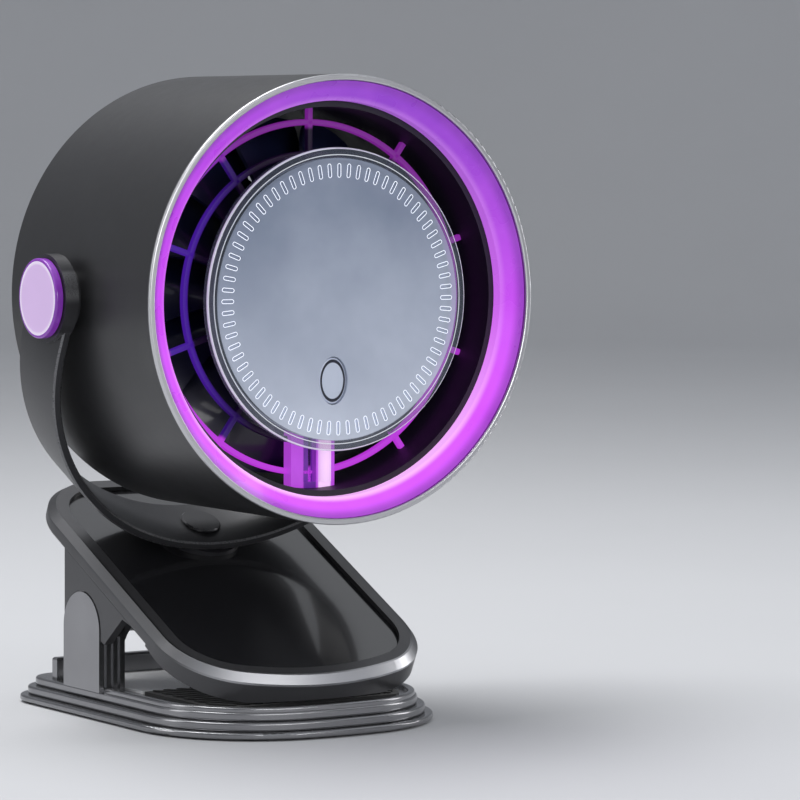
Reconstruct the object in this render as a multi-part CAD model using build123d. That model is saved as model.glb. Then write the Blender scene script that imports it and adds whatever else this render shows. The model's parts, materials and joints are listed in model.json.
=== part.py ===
from build123d import *
from math import cos, pi, radians, sin, tan
import os

# Clip-on desk fan. Millimetres, +Z up, the fan blows towards -Y, origin on the table under the base.

# ---- shared frame: tilt pivot, clip hinge and sloping top plate ----
SLOPE = 25.75            # slope of the top plate, front edge low
PLATE_Z = 46.65          # height of the top plate over the base centre
HINGE_Y = 21.3           # clip hinge axis behind the base centre
HINGE_Z = 29.6           # clip hinge axis height

# ---- running and fixed fits ----
RUN_GAP = 0.06           # radial gap of a turning shaft
FREE_GAP = 0.4           # gap between parts that sweep past each other
COVER_GAP = 0.15         # gap round a screwed-on cover

# ---- lower jaw ----
BASE_WIDTH = 108.0
BASE_LENGTH = 141.4
BASE_BOW_RADIUS = 125.5
BASE_FRONT_CORNER = 44.0
BASE_REAR_CORNER = 16.5
FOOT_STANDOFF = 0.6      # the jaw rests this far above the table, on its feet
STEP_TOPS = (2.8, 5.8, 8.8)
STEP_INSET = 2.7
STEP_ROUND = 0.8
LIP_HEIGHT = 1.6
LIP_WIDTH = 2.4
LIP_INSET = 0.8
CAVITY_TOP = 5.6
CAVITY_INSET = 10.0
COVER_THICK = 1.2
EAR_RADIUS = 12.6
EAR_WIDTH = 10.0
EAR_OUTER_X = 50.0
EAR_GROOVE_WIDTH = 1.1
EAR_GROOVE_DEPTH = 0.9
EAR_GROOVE_STEP = 2.6
REAR_WALL_TOP = 16.4
REAR_WALL_Y = 47.0
REAR_WALL_THICK = 3.5
REAR_WALL_WIDTH = 91.0
PIN_RADIUS = 2.0
PIN_SEAT_DEPTH = 7.0
FOOT_RADIUS = 6.0
FOOT_THICK = 1.2
FOOT_X = 33.0
FOOT_Y = 43.0
TRAY_PLATE_THICK = 0.8
TRAY_PLATE_FRONT = -1.5
TRAY_PLATE_WIDTH = 77.0
PAD_WIDTH = 76.0
PAD_FRONT = -50.0
PAD_BASE_THICK = 0.9
PAD_RIDGE_HEIGHT = 0.6
PAD_RIDGE_STEP = 4.2
PAD_RIDGE_WIDTH = 1.6
PAD_RIDGE_ANGLE = 35.0
BATTERY_WIDTH = 66.0
BATTERY_LENGTH = 56.0
BATTERY_THICK = 3.3
BATTERY_Y = -16.0
BASE_SCREW_X = 38.0
BASE_SCREW_FRONT_Y = -34.0
BASE_SCREW_REAR_Y = 34.0
SCREW_RADIUS = 1.2
SCREW_HEAD_RADIUS = 2.3
SCREW_HEAD_THICK = 0.8
BOSS_RADIUS = 3.4
USB_WIDTH = 9.0
USB_HEIGHT = 3.2
USB_DEPTH = 8.0
USB_WALL = 0.4
USB_Z = 4.1
BOARD_THICK = 1.0
CHARGE_BOARD_WIDTH = 34.0
CHARGE_BOARD_LENGTH = 18.0
COIL_WIRE_RADIUS = 0.7
COIL_RADIUS = 3.6
COIL_TURNS = 7
COIL_PITCH = 1.9
COIL_UPPER_LEG = 9.0

# ---- upper jaw ----
JAW_WIDTH = 99.3
JAW_FRONT = -65.1        # along the slope
JAW_REAR = 70.0
JAW_BOW_RADIUS = 98.0
JAW_FRONT_CORNER = 28.0
JAW_REAR_CORNER = 26.0
JAW_THICK = 7.0
JAW_BOTTOM_ROUND = 1.4
NOSE_THICK = 10.6
NOSE_START = -28.0
NOSE_CLEAR_Z = 10.8
TRIM_WIDTH = 3.2
TRIM_CHAMFER = 2.4
PANEL_INSET = 7.0
PANEL_RECESS = 1.6
PANEL_THICK = 1.2
DECK_THICK = 1.8
JAW_CAVITY_INSET = 10.0
WEB_THICK = 3.0
WEB_REAR_Y = 33.8
WEB_TIP_Y = 5.8
WEB_TIP_Z = 25.6
WEB_NOTCH_Y = -6.6
WEB_NOTCH_Z = 35.4
LUG_THICK = 4.0
LUG_GAP = 0.5
LUG_RADIUS = 6.5
LUG_TOP_LENGTH = 26.0
UPPER_PAD_THICK = 1.2
JAW_SCREW_X = 36.0
JAW_SCREW_FRONT = -36.0
JAW_SCREW_REAR = 50.0

# ---- yoke and swivel ----
SWIVEL_V = 31.035        # swivel axis along the slope
ARM_GAP = 3.2            # between the drum and a yoke arm
YOKE_DROP = 12.914       # straight run of the arms below the tilt pivot
YOKE_THICK = 3.0
YOKE_WIDTH = 26.8
YOKE_CHAMFER = 0.6
ARM_END_RADIUS = 14.6
ARM_BOSS_RISE = 1.8
POST_RADIUS = 5.0
POST_HEAD_RADIUS = 7.0
POST_HEAD_THICK = 1.0
POST_HEAD_LIFT = 0.35    # clears the curve of the band under the flat head
SWIVEL_DISC_RADIUS = 15.0
BUSH_RADIUS = 8.0
BUSH_FLANGE_RADIUS = 10.5
BUSH_FLANGE_THICK = 1.4
WASHER_RADIUS = 8.5
WASHER_THICK = 0.9
NUT_ACROSS = 13.0
NUT_THICK = 3.2
DOME_RADIUS = 13.0
DOME_WALL = 1.4
KNOB_RADIUS = 13.2
KNOB_LENGTH = 2.8
KNOB_GAP = 0.3
KNOB_CAP_THICK = 0.7
KNOB_CAP_RADIUS = 12.2
PIVOT_SCREW_RADIUS = 2.5
PIVOT_SCREW_HEAD_RADIUS = 6.0

# ---- head ----
DRUM_RADIUS = 74.0
DRUM_WALL = 2.2
DRUM_FRONT = 55.5        # ahead of the pivot
DRUM_REAR = 39.7         # behind the pivot
DRUM_REAR_ROUND = 1.4
RIM_DEPTH = 2.0
RIM_WIDTH = 2.1
RING_OUTER_FRONT = 54.2
RING_WIDTH = 8.7
RING_INNER_FRONT = 49.3
RING_BACK = 45.5
RING_WALL = 1.0
LIGHT_COUNT = 30
DUCT_WALL = 2.0
GRILLE_FRONT = 32.8
GRILLE_THICK = 2.4
GRILLE_RING_RADII = (58.2, 47.8, 37.2, 26.6)
GRILLE_BAR = 2.0
GRILLE_RIBS = 10
GRILLE_HUB = 17.0
WIRE_DUCT_WIDTH = 17.0
WIRE_DUCT_INNER = 44.0
WIRE_DUCT_FRONT = 35.0
WIRE_DUCT_BACK = 30.4
STEM_RADIUS = 13.0
HOUSING_RADIUS = 46.0
HOUSING_BACK = 42.0
HOUSING_WALL = 1.6
PANEL_RADIUS = 50.0
PANEL_FRONT = 50.9
PANEL_DISC_THICK = 2.6
TICK_COUNT = 72
TICK_INNER = 40.0
TICK_OUTER = 44.8
TICK_WIDTH = 1.5
TICK_DEPTH = 0.8
BUTTON_WIDTH = 10.5
BUTTON_HEIGHT = 15.3
BUTTON_X = -2.0
BUTTON_Y = -26.7
BUTTON_RECESS = 0.5
BUTTON_TRAVEL = 0.8
BUTTON_GAP = 0.3
SWITCH_SIZE = 6.0
CONTROL_BOARD_RADIUS = 38.0
IMPELLER_TIP_GAP = 3.3
IMPELLER_HUB_RADIUS = 21.0
IMPELLER_BACK = -4.0
IMPELLER_FRONT = 17.0
HUB_WALL = 1.8
BLADE_COUNT = 13
BLADE_THICK = 1.8
BLADE_ROOT_CHORD = 22.0
BLADE_TIP_CHORD = 42.0
BLADE_ROOT_PITCH = 46.0
BLADE_TIP_PITCH = 20.0
SHAFT_RADIUS = 1.5
ROTOR_RADIUS = 16.0
ROTOR_WALL = 1.6
STATOR_RADIUS = 12.8
MOUNT_FRONT = -16.0
MOUNT_THICK = 4.0
MOUNT_CUP_RADIUS = 18.0
MOUNT_ARMS = 5
MOUNT_ARM_WIDTH = 5.0
REAR_GRILLE_INSET = 13.0
REAR_GRILLE_THICK = 2.2
REAR_RING_STEP = 3.8
REAR_RING_BAR = 2.0
REAR_RIBS = 12
REAR_HUB_RADIUS = 15.0
HEAD_SCREW_COUNT = 4
PIVOT_BOSS_RADIUS = 10.0
PIVOT_BUSH_RADIUS = 4.5
ARM_SIDE_GAP = 0.3

# ---- sizes worked out from the above ----
BASE_TOP = STEP_TOPS[-1]
EAR_INNER_X = EAR_OUTER_X - EAR_WIDTH
LUG_OUTER_X = EAR_INNER_X - LUG_GAP
RING_INNER_RADIUS = DRUM_RADIUS - RING_WIDTH
DUCT_RADIUS = RING_INNER_RADIUS - DUCT_WALL
IMPELLER_RADIUS = DUCT_RADIUS - IMPELLER_TIP_GAP
REAR_GRILLE_RADIUS = DRUM_RADIUS - REAR_GRILLE_INSET
DRUM_INNER = DRUM_RADIUS - DRUM_WALL
ARM_INNER_X = DRUM_RADIUS + ARM_GAP
YOKE_RADIUS = ARM_INNER_X + YOKE_THICK
ARM_BOSS_X = YOKE_RADIUS + ARM_BOSS_RISE
KNOB_FACE_X = ARM_BOSS_X + KNOB_LENGTH
COVER_TOP = FOOT_STANDOFF + COVER_THICK
PANEL_DISC_BACK = PANEL_FRONT - PANEL_DISC_THICK
DECK_BOTTOM = PANEL_RECESS + PANEL_THICK + DECK_THICK
PAD_TOP = BASE_TOP + PAD_BASE_THICK + PAD_RIDGE_HEIGHT
PLATE_DISTANCE = YOKE_RADIUS + YOKE_DROP
PIVOT_Y = SWIVEL_V * cos(radians(SLOPE)) - PLATE_DISTANCE * sin(radians(SLOPE))
PIVOT_Z = PLATE_Z + SWIVEL_V * sin(radians(SLOPE)) + PLATE_DISTANCE * cos(radians(SLOPE))

HEAD = Plane(origin=(0, PIVOT_Y, PIVOT_Z), x_dir=(1, 0, 0), z_dir=(0, -1, 0))
JAW = Plane(
    origin=(0, 0, PLATE_Z),
    x_dir=(1, 0, 0),
    z_dir=(0, -sin(radians(SLOPE)), cos(radians(SLOPE))),
)
YOKE = Plane(origin=(0, PIVOT_Y, PIVOT_Z), x_dir=(1, 0, 0), z_dir=JAW.z_dir)
SIDE = Plane.YZ


# ---- shared helpers ----
def bowed_outline(width, front, rear, bow, front_corner, rear_corner):
    """Rounded plate outline whose front edge is a shallow arc."""
    plate = Pos(0, (front + rear) / 2) * Rectangle(width, rear - front)
    plate &= Pos(0, front + bow) * Circle(bow)
    middle = (front + rear) / 2
    plate = fillet([v for v in plate.vertices() if v.Y < middle], front_corner)
    return fillet([v for v in plate.vertices() if v.Y > rear - 1], rear_corner)


def base_outline(inset):
    half = BASE_LENGTH / 2
    outline = bowed_outline(
        BASE_WIDTH, -half, half, BASE_BOW_RADIUS, BASE_FRONT_CORNER, BASE_REAR_CORNER
    )
    return offset(outline, -inset) if inset else outline


def jaw_outline(inset):
    outline = bowed_outline(
        JAW_WIDTH, JAW_FRONT, JAW_REAR, JAW_BOW_RADIUS, JAW_FRONT_CORNER, JAW_REAR_CORNER
    )
    return offset(outline, -inset) if inset else outline


def slab(face, low, high):
    """Straight extrusion of a flat outline between two heights."""
    return Pos(0, 0, low) * extrude(face, high - low)


def level_edges(solid, height):
    """Edges lying flat at one height."""
    return [
        e for e in solid.edges()
        if abs(e.bounding_box().min.Z - height) < 1e-3 and abs(e.bounding_box().max.Z - height) < 1e-3
    ]


def tube(outer, inner, back, front):
    """Hollow round along the fan axis, measured ahead of the pivot."""
    return slab(Circle(outer) - Circle(inner), back, front)


def disc(radius, back, front):
    return slab(Circle(radius), back, front)


def box_between(x0, x1, y0, y1, z0, z1):
    return Pos((x0 + x1) / 2, (y0 + y1) / 2, (z0 + z1) / 2) * Box(x1 - x0, y1 - y0, z1 - z0)


def side_slab(points, x0, x1):
    """Profile drawn in the Y-Z plane, extruded from x0 to x1."""
    face = make_face(Polyline(*points, close=True))
    return Pos(x0, 0, 0) * (SIDE * extrude(face, x1 - x0))


def cross_rod(radius, x0, x1, y=0.0, z=0.0):
    """Round bar lying along X."""
    return Pos((x0 + x1) / 2, y, z) * Rot(0, 90, 0) * Cylinder(radius, x1 - x0)


def around(count, start=0.0):
    return [start + 360.0 * i / count for i in range(count)]


def both_sides(shape):
    return [shape, mirror(shape, about=Plane.YZ)]


def in_head(shape):
    return HEAD.location * shape


def in_jaw(shape):
    return JAW.location * shape


def in_yoke(shape):
    return YOKE.location * shape


# ---- lower jaw ----
def ear(x0, x1):
    """Arch-topped hinge ear standing on the base."""
    arch = Pos(HINGE_Y, HINGE_Z) * Circle(EAR_RADIUS)
    leg_height = HINGE_Z - BASE_TOP
    arch += Pos(HINGE_Y, BASE_TOP + leg_height / 2) * Rectangle(2 * EAR_RADIUS, leg_height)
    solid = Pos(x0, 0, 0) * (SIDE * extrude(arch, x1 - x0))
    front = HINGE_Y - EAR_RADIUS
    for i in (-1, 0, 1):
        x = (x0 + x1) / 2 + i * EAR_GROOVE_STEP
        half = EAR_GROOVE_WIDTH / 2
        solid -= box_between(
            x - half, x + half, front - 1, front + EAR_GROOVE_DEPTH, BASE_TOP + 1, HINGE_Z - 2
        )
    return solid


def base_screw_spots():
    return [
        (sx * BASE_SCREW_X, y)
        for sx in (-1, 1)
        for y in (BASE_SCREW_FRONT_Y, BASE_SCREW_REAR_Y)
    ]


def lower_jaw():
    bottoms = (FOOT_STANDOFF,) + STEP_TOPS[:-1]
    body = None
    for i, (low, high) in enumerate(zip(bottoms, STEP_TOPS)):
        layer = slab(base_outline(i * STEP_INSET), low, high)
        layer = fillet(level_edges(layer, high) + level_edges(layer, low), STEP_ROUND)
        body = layer if body is None else body + layer
    lip_out = 2 * STEP_INSET + LIP_INSET
    lip = slab(base_outline(lip_out) - base_outline(lip_out + LIP_WIDTH), BASE_TOP, BASE_TOP + LIP_HEIGHT)
    lip = fillet(level_edges(lip, BASE_TOP + LIP_HEIGHT), LIP_HEIGHT / 2)
    ear_front = HINGE_Y - EAR_RADIUS
    body += lip & box_between(-BASE_WIDTH, BASE_WIDTH, -BASE_LENGTH, ear_front, 0, 30)
    for part in both_sides(ear(EAR_INNER_X, EAR_OUTER_X)):
        body += part
    wall = box_between(
        -REAR_WALL_WIDTH / 2, REAR_WALL_WIDTH / 2, REAR_WALL_Y, REAR_WALL_Y + REAR_WALL_THICK,
        BASE_TOP, REAR_WALL_TOP,
    )
    body += fillet(level_edges(wall, REAR_WALL_TOP), 1.0)
    body -= slab(base_outline(CAVITY_INSET), 0, CAVITY_TOP)
    body -= slab(base_outline(CAVITY_INSET - 2), 0, COVER_TOP)
    for x, y in base_screw_spots():
        body += Pos(x, y) * slab(Circle(BOSS_RADIUS) - Circle(SCREW_RADIUS), COVER_TOP, CAVITY_TOP)
    for part in both_sides(cross_rod(PIN_RADIUS, EAR_INNER_X - 1, EAR_INNER_X + PIN_SEAT_DEPTH,
                                     HINGE_Y, HINGE_Z)):
        body -= part
    half = BASE_LENGTH / 2
    body -= box_between(
        -USB_WIDTH / 2, USB_WIDTH / 2, half - CAVITY_INSET - 4, half + 1,
        USB_Z - USB_HEIGHT / 2, USB_Z + USB_HEIGHT / 2,
    )
    return body


def base_cover():
    plate = slab(base_outline(CAVITY_INSET - 2 + COVER_GAP), FOOT_STANDOFF, COVER_TOP)
    for x in (-FOOT_X, FOOT_X):
        for y in (-FOOT_Y, FOOT_Y):
            plate -= Pos(x, y) * slab(Circle(FOOT_RADIUS), 0, FOOT_THICK)
    for x, y in base_screw_spots():
        plate -= Pos(x, y) * slab(Circle(SCREW_RADIUS), 0, 10)
        plate -= Pos(x, y) * slab(Circle(SCREW_HEAD_RADIUS), 0, FOOT_STANDOFF + SCREW_HEAD_THICK)
    return plate


def base_feet():
    foot = slab(Circle(FOOT_RADIUS), 0, FOOT_THICK)
    foot = fillet(level_edges(foot, 0), 0.3)
    return [Pos(x, y) * foot for x in (-FOOT_X, FOOT_X) for y in (-FOOT_Y, FOOT_Y)]


def base_screws():
    screw = slab(Circle(SCREW_RADIUS), FOOT_STANDOFF + SCREW_HEAD_THICK, CAVITY_TOP)
    screw += slab(Circle(SCREW_HEAD_RADIUS), FOOT_STANDOFF, FOOT_STANDOFF + SCREW_HEAD_THICK)
    screw -= slab(RegularPolygon(SCREW_RADIUS * 0.8, 6), 0, FOOT_STANDOFF + SCREW_HEAD_THICK / 2)
    return [Pos(x, y) * screw for x, y in base_screw_spots()]


def battery_pack():
    cell = box_between(
        -BATTERY_WIDTH / 2, BATTERY_WIDTH / 2, BATTERY_Y - BATTERY_LENGTH / 2,
        BATTERY_Y + BATTERY_LENGTH / 2, CAVITY_TOP - BATTERY_THICK, CAVITY_TOP,
    )
    cell = fillet(cell.edges().filter_by(Axis.Z), 3.0)
    tab = box_between(
        -12, 12, BATTERY_Y + BATTERY_LENGTH / 2, BATTERY_Y + BATTERY_LENGTH / 2 + 3,
        CAVITY_TOP - 1.5, CAVITY_TOP,
    )
    return cell + tab


def charge_board():
    rear = BASE_LENGTH / 2 - CAVITY_INSET - 0.5
    z = USB_Z - USB_HEIGHT / 2
    board = box_between(
        -CHARGE_BOARD_WIDTH / 2, CHARGE_BOARD_WIDTH / 2, rear - CHARGE_BOARD_LENGTH, rear,
        COVER_TOP + 0.1, z,
    )
    for x, width in ((-10.5, 6.0), (9.5, 5.0), (0, 4.0)):
        y = rear - CHARGE_BOARD_LENGTH + 4
        board += box_between(x - width / 2, x + width / 2, y - 2, y + 2, z, z + 1.4)
    return board


def usb_socket():
    rear = BASE_LENGTH / 2 - 1.9
    outer = box_between(
        -USB_WIDTH / 2, USB_WIDTH / 2, rear - USB_DEPTH - 2, rear,
        USB_Z - USB_HEIGHT / 2, USB_Z + USB_HEIGHT / 2,
    )
    inner = box_between(
        -USB_WIDTH / 2 + USB_WALL, USB_WIDTH / 2 - USB_WALL, rear - USB_DEPTH, rear + 1,
        USB_Z - USB_HEIGHT / 2 + USB_WALL, USB_Z + USB_HEIGHT / 2 - USB_WALL,
    )
    tongue = box_between(
        -USB_WIDTH / 2 + 1.3, USB_WIDTH / 2 - 1.3, rear - USB_DEPTH, rear - 1,
        USB_Z - 0.35, USB_Z + 0.35,
    )
    return outer - inner + tongue


def tray_plate():
    return box_between(
        -TRAY_PLATE_WIDTH / 2, TRAY_PLATE_WIDTH / 2, TRAY_PLATE_FRONT, REAR_WALL_Y,
        BASE_TOP, BASE_TOP + TRAY_PLATE_THICK,
    )


def lower_pad():
    outline = base_outline(2 * STEP_INSET + LIP_INSET + LIP_WIDTH + 3)
    area = outline & (
        Pos(0, (PAD_FRONT + TRAY_PLATE_FRONT) / 2)
        * Rectangle(PAD_WIDTH, TRAY_PLATE_FRONT - PAD_FRONT)
    )
    pad = slab(area, BASE_TOP, BASE_TOP + PAD_BASE_THICK)
    ridge_low = BASE_TOP + PAD_BASE_THICK - 0.2
    reach = PAD_WIDTH
    count = int(2 * reach / PAD_RIDGE_STEP)
    bars = []
    for i in range(count):
        bar = Pos(-reach + i * PAD_RIDGE_STEP, 0) * Rectangle(PAD_RIDGE_WIDTH, 3 * reach)
        bars.append(Pos(0, PAD_FRONT / 2) * Rot(0, 0, PAD_RIDGE_ANGLE) * bar)
    inner = offset(area, -2.0)
    for bar in bars:
        strip = inner & bar
        if strip.faces():
            pad += slab(strip, ridge_low, PAD_TOP)
    return pad


def hinge_pin():
    end = EAR_INNER_X + PIN_SEAT_DEPTH
    return cross_rod(PIN_RADIUS, -end, end, HINGE_Y, HINGE_Z)


def torsion_spring():
    """Closing spring, drawn wound to the open position so it stays clear of the jaw."""
    height = COIL_TURNS * COIL_PITCH
    path = Helix(COIL_PITCH, height, COIL_RADIUS)
    start = path @ 0
    wire = sweep(
        Plane(origin=start, z_dir=path % 0) * Circle(COIL_WIRE_RADIUS),
        path=path,
    )
    coil = Pos(-height / 2, HINGE_Y, HINGE_Z) * Rot(90, 0, 0) * Rot(0, 90, 0) * wire
    tray = BASE_TOP + TRAY_PLATE_THICK
    for x, low, high in ((-height / 2, tray, HINGE_Z), (height / 2, HINGE_Z, HINGE_Z + COIL_UPPER_LEG)):
        coil += Pos(x, HINGE_Y + COIL_RADIUS, (low + high) / 2) * Cylinder(COIL_WIRE_RADIUS, high - low)
    return coil


# ---- upper jaw ----
def nose_block():
    """Thicker chin under the front of the upper jaw, cut level above the lower lip."""
    points = ((JAW_FRONT - 2, 0), (JAW_FRONT - 2, -NOSE_THICK), (NOSE_START, -JAW_THICK), (NOSE_START, 0))
    wedge = side_slab(points, -JAW_WIDTH, JAW_WIDTH)
    return wedge & slab(jaw_outline(0), -NOSE_THICK, 0)


def table_cut():
    """Everything below the level of the lower lip, seen in the sloping frame."""
    block = box_between(-80, 80, -120, 120, NOSE_CLEAR_Z - 60, NOSE_CLEAR_Z)
    return JAW.location.inverse() * block


def jaw_web(x0, x1):
    """Side wall that wraps over the hinge ear."""
    under = JAW_THICK / cos(radians(SLOPE)) - 1.0
    rise = tan(radians(SLOPE))
    arch = EAR_RADIUS + FREE_GAP
    points = (
        (WEB_REAR_Y, PLATE_Z + rise * WEB_REAR_Y - under),
        (WEB_REAR_Y, HINGE_Z),
        (HINGE_Y - arch, HINGE_Z),
        (HINGE_Y - arch, WEB_TIP_Z + 1.0),
        (WEB_TIP_Y, WEB_TIP_Z),
        (WEB_NOTCH_Y, WEB_NOTCH_Z),
        (WEB_NOTCH_Y - 6, PLATE_Z + rise * (WEB_NOTCH_Y - 6) - under),
    )
    wall = side_slab(points, x0, x1)
    wall -= cross_rod(arch, x0 - 1, x1 + 1, HINGE_Y, HINGE_Z)
    return JAW.location.inverse() * wall


def hinge_spot():
    """Hinge axis in the sloping frame, as (along, below)."""
    c, s = cos(radians(SLOPE)), sin(radians(SLOPE))
    return HINGE_Y * c + (HINGE_Z - PLATE_Z) * s, -HINGE_Y * s + (HINGE_Z - PLATE_Z) * c


def jaw_lug(x0, x1):
    """Inner plate that carries the upper jaw on the hinge pin."""
    v, w = hinge_spot()
    top = -DECK_BOTTOM
    points = (
        (v - LUG_TOP_LENGTH / 2, top),
        (v + LUG_TOP_LENGTH / 2, top),
        (v + LUG_RADIUS, w),
        (v - LUG_RADIUS, w),
    )
    plate = side_slab(points, x0, x1) + cross_rod(LUG_RADIUS, x0, x1, v, w)
    return plate - cross_rod(PIN_RADIUS + RUN_GAP, x0 - 1, x1 + 1, v, w)


def jaw_screw_spots():
    return [(sx * JAW_SCREW_X, v) for sx in (-1, 1) for v in (JAW_SCREW_FRONT, JAW_SCREW_REAR)]


def upper_jaw():
    body = slab(jaw_outline(0), -JAW_THICK, 0)
    body = fillet(level_edges(body, -JAW_THICK), JAW_BOTTOM_ROUND)
    body += nose_block()
    body -= table_cut()
    body -= slab(jaw_outline(0), -TRIM_WIDTH, 1) - slab(jaw_outline(TRIM_WIDTH), -TRIM_WIDTH, 1)
    body -= slab(jaw_outline(PANEL_INSET), -PANEL_RECESS - PANEL_THICK, 1)
    body -= slab(jaw_outline(JAW_CAVITY_INSET), -NOSE_THICK - 1, -DECK_BOTTOM)
    body -= slab(jaw_outline(JAW_CAVITY_INSET - 2), -NOSE_THICK - 1, -JAW_THICK + COVER_THICK)
    for part in both_sides(jaw_web(EAR_OUTER_X - 0.35 - WEB_THICK, EAR_OUTER_X - 0.35)):
        body += part
    for part in both_sides(jaw_lug(LUG_OUTER_X - LUG_THICK, LUG_OUTER_X)):
        body += part
    for x, v in jaw_screw_spots():
        body += Pos(x, v) * slab(
            Circle(BOSS_RADIUS) - Circle(SCREW_RADIUS), -JAW_THICK + COVER_THICK, -DECK_BOTTOM
        )
    body -= Pos(0, SWIVEL_V) * slab(Circle(BUSH_RADIUS), -20, 1)
    return body


def jaw_trim():
    ring = slab(jaw_outline(0), -TRIM_WIDTH, 0)
    ring = chamfer(level_edges(ring, 0), TRIM_CHAMFER)
    return ring - slab(jaw_outline(TRIM_WIDTH), -TRIM_WIDTH - 1, 1)


def jaw_panel():
    panel = slab(jaw_outline(PANEL_INSET), -PANEL_RECESS - PANEL_THICK, -PANEL_RECESS)
    return panel - Pos(0, SWIVEL_V) * slab(Circle(BUSH_RADIUS), -20, 1)


def jaw_cover():
    low = -JAW_THICK
    plate = slab(jaw_outline(JAW_CAVITY_INSET - 2 + COVER_GAP), low, low + COVER_THICK)
    dome_floor = -(DECK_BOTTOM + BUSH_FLANGE_THICK + WASHER_THICK + NUT_THICK + 3.0)
    plate += Pos(0, SWIVEL_V) * slab(Circle(DOME_RADIUS), dome_floor, low)
    plate -= Pos(0, SWIVEL_V) * slab(Circle(DOME_RADIUS - DOME_WALL), dome_floor + DOME_WALL, 0)
    for part in both_sides(
        box_between(LUG_OUTER_X - LUG_THICK - 0.3, LUG_OUTER_X + 0.3,
                    hinge_spot()[0] - LUG_TOP_LENGTH / 2 - 0.5,
                    hinge_spot()[0] + LUG_TOP_LENGTH / 2 + 0.5, -20, 0)
    ):
        plate -= part
    for x, v in jaw_screw_spots():
        plate -= Pos(x, v) * slab(Circle(SCREW_RADIUS), -20, 0)
        plate -= Pos(x, v) * slab(Circle(SCREW_HEAD_RADIUS), -20, low + SCREW_HEAD_THICK)
    return plate


def jaw_screws():
    low = -JAW_THICK
    screw = slab(Circle(SCREW_RADIUS), low + SCREW_HEAD_THICK, -DECK_BOTTOM)
    screw += slab(Circle(SCREW_HEAD_RADIUS), low, low + SCREW_HEAD_THICK)
    screw -= slab(RegularPolygon(SCREW_RADIUS * 0.8, 6), low - 1, low + SCREW_HEAD_THICK / 2)
    return [Pos(x, v) * screw for x, v in jaw_screw_spots()]


def upper_pad():
    """Grip pad under the cover, in front of the hinge."""
    area = jaw_outline(JAW_CAVITY_INSET + 2) & (Pos(0, -37) * Rectangle(60, 30))
    area -= [Pos(x, v) * Circle(SCREW_HEAD_RADIUS + 2) for x, v in jaw_screw_spots()]
    low = -JAW_THICK - UPPER_PAD_THICK
    pad = slab(area, low, -JAW_THICK)
    for i in range(6):
        groove = box_between(-40, 40, -49.5 + i * 5, -48 + i * 5, low - 1, low + 0.6)
        pad -= groove
    return pad


def swivel_bush():
    spot = Pos(0, SWIVEL_V)
    sleeve = slab(Circle(BUSH_RADIUS), -DECK_BOTTOM, -PANEL_RECESS)
    sleeve += slab(Circle(BUSH_FLANGE_RADIUS), -DECK_BOTTOM - BUSH_FLANGE_THICK, -DECK_BOTTOM)
    return spot * (sleeve - slab(Circle(POST_RADIUS + RUN_GAP), -40, 10))


# ---- yoke ----
def yoke_profile(radius, top):
    straight = YOKE_RADIUS - PLATE_DISTANCE
    shape = Pos(0, straight) * Circle(radius)
    return shape + Pos(0, (straight + top) / 2) * Rectangle(2 * radius, top - straight)


def yoke():
    top = ARM_END_RADIUS
    straight = YOKE_RADIUS - PLATE_DISTANCE
    band = yoke_profile(YOKE_RADIUS, top) - yoke_profile(ARM_INNER_X, top + 1)
    band -= Pos(0, top + 50) * Rectangle(400, 100)
    solid = Pos(0, YOKE_WIDTH / 2, 0) * (Plane.XZ * extrude(band, YOKE_WIDTH))
    solid -= box_between(-90, 90, -20, 20, 0, 40)
    rims = [
        e for e in solid.edges()
        if abs(e.bounding_box().size.Y) < 1e-3 and e.bounding_box().min.Z < -1
    ]
    solid = chamfer(rims, YOKE_CHAMFER)
    for x0, x1 in ((ARM_INNER_X, ARM_BOSS_X), (-ARM_BOSS_X, -ARM_INNER_X)):
        solid += cross_rod(ARM_END_RADIUS, x0, x1)
    for x0, x1 in ((0, 100), (-100, 0)):
        solid -= cross_rod(PIVOT_SCREW_RADIUS, x0, x1)
    for x0, x1 in ((YOKE_RADIUS, 100), (-100, -YOKE_RADIUS)):
        solid -= cross_rod(PIVOT_SCREW_HEAD_RADIUS, x0, x1)
    return solid - slab(Circle(POST_RADIUS), straight - YOKE_RADIUS - 5, straight - 60)


def swivel_post():
    floor = -PLATE_DISTANCE
    inner = floor + YOKE_THICK + POST_HEAD_LIFT
    end = -DECK_BOTTOM - BUSH_FLANGE_THICK - WASHER_THICK - NUT_THICK - 0.8
    post = slab(Circle(POST_RADIUS), floor + end, inner)
    head = slab(Circle(POST_HEAD_RADIUS), inner, inner + POST_HEAD_THICK)
    head = chamfer(level_edges(head, inner + POST_HEAD_THICK), 0.4)
    return post + head


def swivel_disc():
    floor = -PLATE_DISTANCE
    ring = slab(Circle(SWIVEL_DISC_RADIUS) - Circle(POST_RADIUS), floor - PANEL_RECESS + 0.05, floor + 1.0)
    return ring - Pos(0, 0, YOKE_RADIUS - PLATE_DISTANCE) * Rot(90, 0, 0) * Cylinder(YOKE_RADIUS, 60)


def swivel_washer():
    top = -PLATE_DISTANCE - DECK_BOTTOM - BUSH_FLANGE_THICK
    return slab(Circle(WASHER_RADIUS) - Circle(POST_RADIUS), top - WASHER_THICK, top - 0.02)


def swivel_nut():
    top = -PLATE_DISTANCE - DECK_BOTTOM - BUSH_FLANGE_THICK - WASHER_THICK
    return slab(RegularPolygon(NUT_ACROSS / 2, 6, major_radius=False) - Circle(POST_RADIUS),
                top - NUT_THICK, top)


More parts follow.
